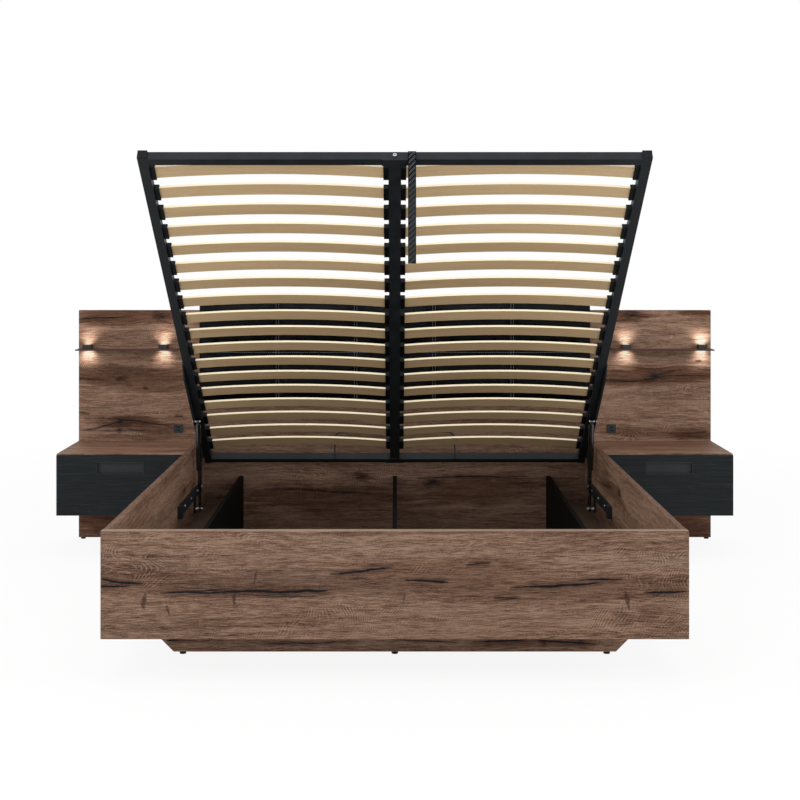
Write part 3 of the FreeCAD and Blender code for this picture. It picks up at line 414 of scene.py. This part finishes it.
THREAD_TWIST = 4200.0
RIB_WAVE, RIB_BREAK_WAVE = 800.0, 380.0
SELVEDGE = 0.0015


def seam_thread(name):
    """Grey sewing thread, twisted: slanting light and dark bands."""
    f = Finish(name)
    x, _, z = f.parts(f.place)
    twist = ((x + z) * THREAD_TWIST).sine().ramp(-0.6, 0.8)
    tint = f.mix(twist, (0.110, 0.118, 0.126), (0.230, 0.242, 0.255))
    return f.shade(Base_Color=tint, Roughness=twist.ramp(0.0, 1.0, 0.75, 0.62),
                   Normal=f.bump(twist, 0.4, 0.0003), Specular_IOR_Level=0.25)


def woven_webbing(name, width):
    """Black webbing: fine diagonal ribs on the strap's own lengths, broken into dots by a slower wave the other
    way, and plain dark selvedges."""
    f = Finish(name)
    u, v, _ = f.parts(f.add("ShaderNodeTexCoord", {}, {}, "UV"))
    warp = ((u + v) * RIB_WAVE).sine()
    weft = ((u - v) * RIB_BREAK_WAVE).sine()
    inner = u.ramp(SELVEDGE, SELVEDGE * 2) * u.ramp(width - SELVEDGE, width - SELVEDGE * 2)
    lumps = (warp * 0.6 + weft * 0.4).ramp(-0.5, 0.9)
    fuzz = f.noise(f.vector(u * 420.0, v * 900.0, 0.0), 3.0, 0.7)
    shown = warp.ramp(0.00, 0.90) * weft.ramp(-0.9, 0.5) * inner
    tint = f.mix((lumps * 0.6 + fuzz * 0.4).ramp(0.25, 0.95), (0.0020, 0.0023, 0.0026), (0.0060, 0.0065, 0.0070))
    tint = f.mix(shown, tint, (0.135, 0.140, 0.147))
    return f.shade(Base_Color=tint, Roughness=fuzz.ramp(0.3, 0.7, 0.82, 0.70), Normal=f.bump(lumps, 0.35, 0.0006),
                   Specular_IOR_Level=0.03)


def lit_lens(name):
    """Frosted diffuser that glows warm white, a little uneven with the frosting."""
    f = Finish(name)
    frost = f.even_noise(300.0)
    glow = f.mix(frost.ramp(0.3, 0.7), (0.95, 0.76, 0.57), (0.95, 0.84, 0.69))
    return f.shade(Base_Color=(0.2, 0.19, 0.17), Roughness=frost.ramp(0.3, 0.7, 0.35, 0.5),
                   Emission_Color=glow, Emission_Strength=0.9)


# Dressing the solids of the part

def dress(material, *names):
    """Give solids of the part a finish."""
    for name in names:
        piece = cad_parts[name]
        piece.data.materials.clear()
        piece.data.materials.append(material)


def corners_of(name):
    """Every corner of a solid's mesh, in the frame's coordinates."""
    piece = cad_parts[name]
    points = np.empty(len(piece.data.vertices) * 3)
    piece.data.vertices.foreach_get("co", points)
    turn = np.array(piece.matrix_world)
    return points.reshape(-1, 3) @ turn[:3, :3].T + turn[:3, 3]


def lamp_spots(side):
    """The two lamps on one side: middle, top and underside of what they shine past."""
    x = np.sort(side * corners_of("lamp_housings")[:, 0])
    x = x[x > 0]
    split = np.argmax(np.diff(x)) + 1
    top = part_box("lamp_housings")[1].z
    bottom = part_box("lamp_ledges")[0].z
    return [(side * (part[0] + part[-1]) / 2, top, bottom) for part in (x[:split], x[split:])]


footboard_cracks = [(-0.775, 0.287, 0.070, -0.004, 0.0027), (-0.800, 0.274, 0.060, 0.003, 0.0022),
                    (-0.415, 0.259, 0.250, 0.002, 0.0030), (-0.330, 0.259, 0.150, -0.001, 0.0034),
                    (-0.560, 0.262, 0.100, 0.004, 0.0016), (-0.330, 0.246, 0.120, -0.004, 0.0011),
                    (-0.095, 0.318, 0.090, 0.010, 0.0031), (0.090, 0.291, 0.065, -0.003, 0.0030),
                    (0.235, 0.340, 0.036, 0.002, 0.0021), (0.455, 0.277, 0.135, 0.005, 0.0033),
                    (0.580, 0.291, 0.065, -0.003, 0.0027), (0.315, 0.240, 0.040, -0.002, 0.0021),
                    (0.765, 0.256, 0.066, 0.003, 0.0027)]
footboard_splits = [(-0.707, 0.228, 0.026, 0.003, 0.0064), (-0.452, 0.240, 0.028, -0.002, 0.0060),
                    (0.655, 0.232, 0.030, -0.006, 0.0064), (-0.395, 0.296, 0.022, 0.006, 0.0022),
                    (0.025, 0.240, 0.014, 0.000, 0.0018), (-0.640, 0.205, 0.016, -0.006, 0.0032)]
footboard_stains = [(0.000, 0.276, 1.500, 0.030, 0.50), (-0.600, 0.286, 0.400, 0.034, 0.55),
                    (0.120, 0.306, 0.360, 0.052, 0.60), (0.480, 0.264, 0.400, 0.038, 0.60),
                    (0.720, 0.200, 0.040, 0.020, 0.60), (0.250, 0.345, 0.120, 0.014, 0.60),
                    (0.000, 0.428, 1.800, 0.005, 0.50), (0.050, 0.165, 0.450, 0.045, 0.25)]
# edge=OAK_FLECK paints the footboard's top face lighter: a painted highlight.
dress(rustic_oak("footboard_oak", "x", "z", (0.0, 0.0), footboard_cracks, (), footboard_stains,
                 footboard_splits, bands=0.24, rays=0.44, fine=1.05, shade=0.88, edge=OAK_FLECK), "footboard")
left_cracks = [(-1.225, 0.940, 0.118, 0.001, 0.0024), (-1.275, 0.677, 0.075, -0.003, 0.0012),
               (-1.245, 0.480, 0.100, 0.018, 0.0020), (-1.050, 0.494, 0.115, -0.010, 0.0016),
               (-1.150, 0.463, 0.190, 0.002, 0.0010), (-1.320, 0.538, 0.026, -0.001, 0.0014),
               (-0.918, 0.521, 0.020, 0.000, 0.0016), (-1.130, 0.505, 0.060, -0.004, 0.0022)]
left_knots = [(-1.166, 0.681, 0.013), (-1.165, 0.500, 0.020), (-1.172, 0.464, 0.008), (-1.000, 0.945, 0.016),
              (-1.060, 0.640, 0.006)]
left_stains_and_painted_shadow = [(-1.180, 0.945, 0.230, 0.040, 1.0), (-0.980, 0.945, 0.090, 0.036, 1.0),
               (-1.130, 0.690, 0.320, 0.048, 0.85), (-1.040, 0.645, 0.150, 0.026, 0.7),
               (-1.140, 0.498, 0.150, 0.026, 0.9), (-0.980, 0.470, 0.140, 0.020, 0.8),
               # Painted shadow: the cloud at across 0.100 darkens the panel's lower part below the nightstand.
               (-1.090, 0.436, 0.300, 0.012, 0.5), (-1.090, 0.100, 0.400, 0.170, 1.0),
               (-1.090, 0.860, 0.300, 0.045, 0.25)]
dress(rustic_oak("left_wing_oak", "x", "z", (5.2, 1.9), left_cracks, left_knots, left_stains_and_painted_shadow,
                 rays=0.40, shade=1.02, lamps=lamp_spots(-1)), "left_wing_panel")
right_cracks = [(0.990, 0.671, 0.130, -0.002, 0.0018), (1.110, 0.682, 0.090, 0.008, 0.0016),
                (1.240, 0.690, 0.110, -0.001, 0.0014), (1.270, 0.452, 0.060, 0.005, 0.0014),
                (1.250, 0.437, 0.060, -0.002, 0.0018), (1.290, 0.755, 0.016, 0.001, 0.0018),
                (1.150, 0.702, 0.080, 0.010, 0.0012), (1.180, 0.712, 0.070, 0.004, 0.0010)]
right_knots = [(1.110, 0.690, 0.020), (1.080, 0.676, 0.012), (1.005, 0.950, 0.016)]
right_stains_and_painted_shadow = [(1.110, 0.692, 0.340, 0.040, 1.0), (1.110, 0.690, 0.100, 0.040, 1.0),
                (0.990, 0.952, 0.100, 0.030, 1.0), (1.260, 0.447, 0.110, 0.026, 1.0),
                (1.280, 0.960, 0.090, 0.012, 1.0), (1.150, 0.450, 0.260, 0.022, 0.6),
                # Painted shadow: the cloud at across 0.100 darkens the panel's lower part below the nightstand.
                (1.090, 0.100, 0.400, 0.170, 1.0), (1.300, 0.915, 0.060, 0.050, 0.45)]
dress(rustic_oak("right_wing_oak", "x", "z", (9.6, 4.3), right_cracks, right_knots, right_stains_and_painted_shadow,
                 rays=0.40, shade=1.02, lamps=lamp_spots(1)), "right_wing_panel")
# Painted shade: shade 0.80 darkens the whole centre panel, which sits in the shade inside the bed. Its two low
# clouds make it darker towards the bottom.
dress(rustic_oak("centre_oak", "x", "z", (2.7, 8.1),
                 [(-0.300, 0.205, 0.260, -0.006, 0.0024), (0.330, 0.262, 0.240, 0.005, 0.0024)],
                 [(-0.140, 0.268, 0.020), (0.160, 0.240, 0.018)],
                 [(-0.300, 0.180, 0.400, 0.060, 0.8), (0.350, 0.200, 0.300, 0.060, 0.8)], shade=0.80),
      "headboard_centre_panel")
# edge=OAK_DEEP paints the rails' top faces darker: painted shade.
dress(rustic_oak("left_rail_oak", "y", "z", (1.3, 6.6), [(0.620, 0.262, 0.120, 0.020, 0.0020)],
                 [(0.450, 0.300, 0.016)], [(0.500, 0.280, 0.300, 0.030, 0.6)], shade=1.25, edge=OAK_DEEP),
      "left_side_rail")
dress(rustic_oak("right_rail_oak", "y", "z", (7.4, 2.2), [(0.380, 0.330, 0.140, -0.010, 0.0020)],
                 [(0.100, 0.350, 0.016)], [(0.300, 0.330, 0.300, 0.030, 0.6)], shade=1.12, edge=OAK_DEEP),
      "right_side_rail")
plinth_cracks = [(-0.642, 0.047, 0.050, 0.004, 0.0034), (0.350, 0.044, 0.120, 0.003, 0.0026),
                 (0.520, 0.036, 0.090, -0.004, 0.0026), (-0.250, 0.034, 0.160, 0.003, 0.0014),
                 (0.080, 0.041, 0.120, -0.002, 0.0014)]
dress(rustic_oak("plinth_oak", "x", "z", (3.9, 5.5), plinth_cracks, [(0.450, 0.038, 0.008), (0.560, 0.034, 0.007)],
                 [(0.450, 0.038, 0.200, 0.016, 0.7), (-0.600, 0.044, 0.120, 0.010, 0.6)], shade=1.10, bands=0.55,
                 fine=1.20), "front_plinth")
dress(rustic_oak("top_oak", "x", "y", (6.1, 3.7), [(-1.090, 0.850, 0.200, 0.006, 0.0018),
                                                (1.090, 0.860, 0.200, -0.004, 0.0018)],
                 stains_and_painted_shadow=[(-1.100, 0.850, 0.420, 0.260, 0.6), (1.100, 0.860, 0.420, 0.260, 0.6)], shade=1.25),
      "nightstand_tops", "nightstand_bottoms")
dress(plain_board("ledge_brown", (0.040, 0.015, 0.010), (0.075, 0.029, 0.019), "x"), "lamp_ledges")
dress(rustic_oak("side_oak", "y", "z", (4.5, 9.2)), "nightstand_sides")
dress(black_oak("left_front_oak", 0.7), "left_drawer_front")
dress(black_oak("right_front_oak", 4.9), "right_drawer_front")
# The dividers' near-black is partly their own colour and partly painted shade for the inside of the bed.
dress(plain_board("divider_black_and_painted_shade", (0.0008, 0.0009, 0.0012), (0.0018, 0.0020, 0.0025), "y", 0.60, 0.06),
      "centre_divider", "side_dividers")
dress(plain_board("floor_brown", (0.070, 0.043, 0.030), (0.115, 0.074, 0.052), "x"),
      "floor_panels", "floor_battens", "low_floor_panels", "low_battens")
dress(plain_board("drawer_grey", (0.075, 0.072, 0.070), (0.110, 0.106, 0.102), "x"),
      "left_drawer_box", "right_drawer_box", "nightstand_backs")
dress(plain_board("pad_ply", (0.36, 0.25, 0.14), (0.48, 0.36, 0.22), "x"), "pad_backing_board", "wing_dowels")
dress(birch_slat("slat_birch"), "left_slats", "right_slats")
dress(coated_steel("frame_steel", (0.0166, 0.0196, 0.0220), 0.46, 0.10, 0.72), "left_side_tube", "right_side_tube",
      "foot_bar", "head_bar", "centre_rail", "joint_plates", "lift_brackets", "base_plates",
      "mattress_retainer", "corner_brackets")
dress(coated_steel("strut_black", (0.0050, 0.0056, 0.0064), 0.22, 0.90), "strut_cylinders")
dress(coated_steel("lamp_grey", (0.0130, 0.0145, 0.0155), 0.40), "lamp_housings")
dress(coated_steel("handle_grey", (0.0158, 0.0178, 0.0193), 0.50, 0.20), "left_drawer_handle",
      "right_drawer_handle")
dress(moulded_plastic("holder_black", (0.0022, 0.0026, 0.0034), 0.55, 0.14), "outer_slat_holders",
      "centre_slat_holders", "tube_end_caps", "glide_feet")
dress(moulded_plastic("socket_black", (0.0170, 0.0195, 0.0225), 0.45, 0.2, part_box("usb_sockets")[0].y),
      "usb_sockets")
dress(moulded_plastic("rest_rubber", (0.010, 0.010, 0.010), 0.7, 0.2), "frame_rests")
dress(zinc_steel("pin_zinc", (0.86, 0.87, 0.88), 0.34), "strut_upper_pins", "strut_lower_pins",
      "base_plate_screws")
dress(zinc_steel("zinc", (0.42, 0.43, 0.45), 0.45), "centre_bolts", "bracket_bolts", "hinge_pins",
      "rail_bolts", "fixed_runners", "left_drawer_slides", "right_drawer_slides")
dress(zinc_steel("rod_steel", (0.16, 0.165, 0.175), 0.25), "strut_rods")
dress(lit_lens("lamp_lens"), "lamp_lenses")


# Soft pieces

def grid_faces(rows, columns):
    """Quads of a grid of rows x columns points, numbered row by row."""
    corner = (np.arange(rows - 1)[:, None] * columns + np.arange(columns - 1)).ravel()
    return np.stack([corner, corner + 1, corner + columns + 1, corner + columns], 1)


def piece_from(name, points, faces, material, body):
    """A mesh piece that rides on a body and takes the finish it is given."""
    mesh = bpy.data.meshes.new(name)
    mesh.from_pydata(points.tolist(), [], faces.tolist())
    mesh.polygons.foreach_set("use_smooth", np.ones(len(faces), bool))
    mesh.materials.append(material)
    piece = bpy.data.objects.new(name, mesh)
    bpy.context.scene.collection.objects.link(piece)
    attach(piece, body)
    return piece


COLUMNS, ROWS = 5, 2
ACROSS, UP = 30, 18
SEAM_MARGIN = 0.0085
SEAM_DEPTH, SEAM_GROOVE, CROWN = 0.016, 0.004, 0.026
STITCH, STITCH_STEP, STITCH_OFF, THREAD = 0.0072, 0.0092, 0.0055, 0.0010
STITCH_RINGS, STITCH_SIDES, STITCH_END = 7, 6, 0.35
PAD_BACK_GAP = 0.0005
SWELL_FRAMES, SWELL_CAP = 18, 0.010
PRESSURE, STRETCH, STIFFNESS, BENDING = 4.0, -0.06, 12.0, 0.3


def seam_steps(low, high, cells, steps):
    """Places along one side of the pad: each cell has its seam, then even steps between two margins.
    Returned with the height of each place over its cell, (1 - |s|^4)^0.6 for s from -1 to 1 between the
    margins, and with 1 where a seam runs."""
    size = (high - low) / cells
    even = np.linspace(SEAM_MARGIN, size - SEAM_MARGIN, steps + 1)
    cell = np.concatenate([[0.0], even])
    rise = np.concatenate([[0.0], (1 - np.linspace(-1, 1, steps + 1) ** 4).clip(0) ** 0.6])
    seam = np.concatenate([[1.0], np.zeros(steps + 1)])
    starts = low + size * np.arange(cells)
    return (np.append((starts[:, None] + cell).ravel(), high), np.append(np.tile(rise, cells), 0.0),
            np.append(np.tile(seam, cells), 1.0))


def inflate(piece, pinned, frames, cap):
    """Let the cover swell: cloth under pressure with its seams held, each point moving at most the cap."""
    start = np.empty(len(piece.data.vertices) * 3)
    piece.data.vertices.foreach_get("co", start)
    group = piece.vertex_groups.new(name="held")
    group.add(pinned.tolist(), 1.0, "REPLACE")
    cloth = piece.modifiers.new("cover", "CLOTH")
    cloth.settings.quality = 5
    cloth.settings.use_pressure = True
    cloth.settings.uniform_pressure_force = PRESSURE
    cloth.settings.shrink_min = STRETCH
    cloth.settings.vertex_group_mass = "held"
    cloth.settings.effector_weights.gravity = 0.0
    cloth.settings.tension_stiffness = STIFFNESS
    cloth.settings.compression_stiffness = STIFFNESS
    cloth.settings.bending_stiffness = BENDING
    cloth.point_cache.frame_end = frames
    scene = bpy.context.scene
    for number in range(1, frames + 1):
        scene.frame_set(number)
    depsgraph = bpy.context.evaluated_depsgraph_get()
    swollen = np.empty_like(start)
    piece.evaluated_get(depsgraph).data.vertices.foreach_get("co", swollen)
    piece.modifiers.remove(cloth)
    scene.frame_set(1)
    step = (swollen - start).reshape(-1, 3)
    far = np.linalg.norm(step, axis=1, keepdims=True)
    step *= np.minimum(1.0, cap / np.maximum(far, 1e-9))
    piece.data.vertices.foreach_set("co", (start.reshape(-1, 3) + step).ravel())
    piece.data.update()


def headboard_pad():
    """A quilted cover: seams drawn back with a flat margin, swollen cells between them, and a flat back."""
    low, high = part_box("headboard_pad")
    x, rise_x, seam_x = seam_steps(low.x, high.x, COLUMNS, ACROSS)
    z, rise_z, seam_z = seam_steps(low.z, high.z, ROWS, UP)
    rise = np.outer(rise_z, rise_x)
    groove = np.maximum(seam_z[:, None], seam_x[None])
    rows, columns = rise.shape
    front = np.zeros((rows, columns, 3))
    front[..., 0], front[..., 2] = x[None], z[:, None]
    back = front.copy()
    front[..., 1] = high.y - SEAM_DEPTH + SEAM_GROOVE * groove - CROWN * rise
    back[..., 1] = high.y - PAD_BACK_GAP
    number = np.arange(rows * columns).reshape(rows, columns)
    faces = grid_faces(rows, columns)
    rim = np.concatenate([number[0], number[1:, -1], number[-1, -2::-1], number[-2:0:-1, 0]])
    rim_back = rim + rows * columns
    skirt = np.stack([rim, rim_back, np.roll(rim_back, -1), np.roll(rim, -1)], 1)
    faces = np.concatenate([faces, faces[:, ::-1] + rows * columns, skirt])
    points = np.concatenate([front.reshape(-1, 3), back.reshape(-1, 3)])
    pad = piece_from("quilted_pad", points, faces, quilted_leather("pad_leather"), "bed")
    held = np.concatenate([number[rise < 1e-6], (number + rows * columns).ravel()])
    inflate(pad, held, SWELL_FRAMES, SWELL_CAP)
    smooth = pad.modifiers.new("smooth", "SUBSURF")
    smooth.levels = smooth.render_levels = 1
    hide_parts("headboard_pad")
    seam_stitches(low, high)


def seam_stitches(low, high):
    """Two rows of thread beside every inner seam. A stitch is a six-sided spindle that stands off the cover
    by one thread at its middle and dips into it at both ends."""
    along = np.linspace(-1, 1, STITCH_RINGS)
    ring = np.arange(STITCH_SIDES)
    turn = ring * 2 * math.pi / STITCH_SIDES
    bow = np.sqrt((1 - along ** 2).clip(0))[:, None]
    girth = THREAD * (STITCH_END + (1 - STITCH_END) * bow)
    spindle = np.zeros((STITCH_RINGS, STITCH_SIDES, 3))
    spindle[..., 0] = along[:, None] * STITCH / 2
    spindle[..., 1] = np.sin(turn) * girth - THREAD * bow
    spindle[..., 2] = np.cos(turn) * girth
    level = spindle.reshape(-1, 3)
    upright = level[:, [2, 1, 0]]
    y = high.y - SEAM_DEPTH
    size_x, size_z = (high.x - low.x) / COLUMNS, (high.z - low.z) / ROWS
    runs_x = np.arange(low.x + SEAM_MARGIN, high.x - SEAM_MARGIN, STITCH_STEP)
    runs_z = np.arange(low.z + SEAM_MARGIN, high.z - SEAM_MARGIN, STITCH_STEP)
    rows_z = low.z + size_z * np.arange(1, ROWS)
    rows_x = low.x + size_x * np.arange(1, COLUMNS)
    sides = np.array([-STITCH_OFF, STITCH_OFF])
    flat = np.array([(u, y, v) for v in (rows_z[:, None] + sides).ravel() for u in runs_x])
    tall = np.array([(u, y, v) for u in (rows_x[:, None] + sides).ravel() for v in runs_z])
    points = np.concatenate([(flat[:, None] + level).reshape(-1, 3), (tall[:, None] + upright).reshape(-1, 3)])
    after = (ring + 1) % STITCH_SIDES
    first = np.arange(STITCH_RINGS - 1)[:, None] * STITCH_SIDES
    sleeve = np.stack([first + ring, first + after, first + STITCH_SIDES + after, first + STITCH_SIDES + ring], 2)
    sleeve = sleeve.reshape(-1, 4)
    starts = np.arange(len(flat) + len(tall))[:, None, None] * len(level)
    faces = (starts + sleeve).reshape(-1, 4)
    piece_from("seam_stitches", points, faces, seam_thread("thread"), "bed")


STRAP_WALL, STRAP_INSET, STRAP_END = 0.0016, 0.0010, 0.0006
STRAP_PLY_GAP, STRAP_LEAVES = 0.0020, 0.42
STRAP_STEPS, STRAP_COLUMNS = 60, 9


def pull_strap():
    """Webbing in one length: a straight line up the front ply, a circle about the foot bar that it leaves just
    short of a full turn, and a line down the back ply, which nears the front ply as the square root of the way."""
    low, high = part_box("pull_strap")
    outer = (high.y - low.y) / 2
    middle = Vector((0, low.y + outer, high.z - outer))
    radius, end = outer - STRAP_INSET, low.z + STRAP_END
    turn = np.linspace(math.pi, -math.pi + STRAP_LEAVES, STRAP_STEPS)
    y = np.concatenate([np.full(STRAP_STEPS, middle.y - radius), middle.y + radius * np.cos(turn)])
    z = np.concatenate([np.linspace(end, middle.z, STRAP_STEPS, endpoint=False),
                        middle.z + radius * np.sin(turn)])
    tail_y = middle.y - radius + STRAP_PLY_GAP
    tail = np.linspace(0, 1, STRAP_STEPS)[1:]
    ease = np.minimum(1.0, tail * 6) ** 0.5
    y = np.concatenate([y, y[-1] + (tail_y - y[-1]) * ease])
    z = np.concatenate([z, z[-1] + (end - z[-1]) * tail])
    across = np.linspace(low.x, high.x, STRAP_COLUMNS)
    points = np.zeros((len(y), len(across), 3))
    points[..., 0] = across[None]
    points[..., 1], points[..., 2] = y[:, None], z[:, None]
    faces = grid_faces(*points.shape[:2])
    width = high.x - low.x
    strap = piece_from("webbing_strap", points.reshape(-1, 3), faces, woven_webbing("strap_webbing", width),
                       "pull_strap")
    length = np.concatenate([[0], np.cumsum(np.hypot(np.diff(y), np.diff(z)))])
    uv = np.zeros((*points.shape[:2], 2))
    uv[..., 0], uv[..., 1] = across - across[0], length[:, None]
    layer = strap.data.uv_layers.new(name="weave")
    corners = np.empty(len(strap.data.loops), int)
    strap.data.loops.foreach_get("vertex_index", corners)
    layer.data.foreach_set("uv", uv.reshape(-1, 2)[corners].ravel())
    wall = strap.modifiers.new("wall", "SOLIDIFY")
    wall.thickness, wall.offset = STRAP_WALL, 0.0
    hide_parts("pull_strap")


headboard_pad()
pull_strap()


# Camera, light and stage

CAMERA_Y, CAMERA_Z = -5.1165, 1.209
FOCAL, SENSOR = 65.0, 36.0
SHIFT_X, SHIFT_Y = 0.0065, -0.182
lens = bpy.data.cameras.new("camera")
lens.lens, lens.sensor_width = FOCAL, SENSOR
lens.shift_x, lens.shift_y = SHIFT_X, SHIFT_Y
camera = bpy.data.objects.new("camera", lens)
camera.location = (0.0, CAMERA_Y, CAMERA_Z)
camera.rotation_euler = (math.pi / 2, 0.0, 0.0)
bpy.context.scene.collection.objects.link(camera)
bpy.context.scene.camera = camera


def soft_light(name, place, aim, width, height, power):
    """A large lamp aimed at a point."""
    data = bpy.data.lights.new(name, "AREA")
    data.shape = "RECTANGLE"
    data.size, data.size_y, data.energy = width, height, power
    lamp = bpy.data.objects.new(name, data)
    lamp.location = place
    lamp.rotation_euler = (Vector(aim) - Vector(place)).to_track_quat("-Z", "Y").to_euler()
    bpy.context.scene.collection.objects.link(lamp)


soft_light("key", (-3.2, -4.6, 3.8), (0.0, 0.0, 0.5), 3.5, 3.5, 60.0)
soft_light("fill", (3.0, -5.0, 2.0), (0.0, 0.0, 0.6), 4.0, 3.0, 25.0)
soft_light("low", (0.0, -6.0, 0.7), (0.0, 0.0, 0.8), 6.0, 1.0, 50.0)
soft_light("top", (0.0, -0.5, 4.6), (0.0, 0.0, 0.3), 4.0, 4.0, 60.0)
soft_light("left_side", (-4.2, -1.6, 1.7), (0.6, 0.2, 0.3), 2.0, 1.6, 45.0)
soft_light("right_side", (4.2, -1.6, 1.7), (-0.6, 0.2, 0.3), 2.0, 1.6, 45.0)

AMBIENT = 0.70
world = bpy.data.worlds.new("studio")
bpy.context.scene.world = world
world.use_nodes = True
sky = Nodes(world.node_tree)
white = sky.add("ShaderNodeBackground", {}, {"Color": (1, 1, 1), "Strength": 1.0})
given = sky.add("ShaderNodeBackground", {}, {"Color": (1, 1, 1), "Strength": AMBIENT})
either = sky.add("ShaderNodeMixShader", {}, {0: sky.seen_white(), 1: given, 2: white})
sky.feed(sky.tree.nodes["World Output"].inputs[0], either)

FLOOR_HALF, FLOOR_GREY = 40.0, (0.86, 0.86, 0.86)
SHADOW_NEAR, SHADOW_FAR, SHADOW_SHARE = 2.2, 5.0, 0.10
floor_mesh = bpy.data.meshes.new("studio_floor")
floor_mesh.from_pydata([(-FLOOR_HALF, -FLOOR_HALF, 0), (FLOOR_HALF, -FLOOR_HALF, 0), (FLOOR_HALF, FLOOR_HALF, 0),
                        (-FLOOR_HALF, FLOOR_HALF, 0)], [], [(0, 1, 2, 3)])
floor = bpy.data.objects.new("studio_floor", floor_mesh)
bpy.context.scene.collection.objects.link(floor)
ground = Finish("floor_white")
ground.shade(Base_Color=FLOOR_GREY, Roughness=0.9, Specular_IOR_Level=0.0)
ground_x, ground_y, _ = ground.parts(ground.place)
away = (ground_x * ground_x + ground_y * ground_y).root()
share = away.ramp(SHADOW_NEAR, SHADOW_FAR, 1.0 - SHADOW_SHARE, 1.0)
shown = ground.add("ShaderNodeEmission", {}, {"Color": (1, 1, 1), "Strength": 1.0})
lit_floor = Value(ground, ground.shader.outputs[0])
both = ground.add("ShaderNodeMixShader", {}, {0: ground.seen_white() * share, 1: lit_floor, 2: shown})
ground.feed(ground.tree.nodes["Material Output"].inputs[0], both)
floor_mesh.materials.append(ground.material)

bpy.context.scene.view_settings.view_transform = "Standard"
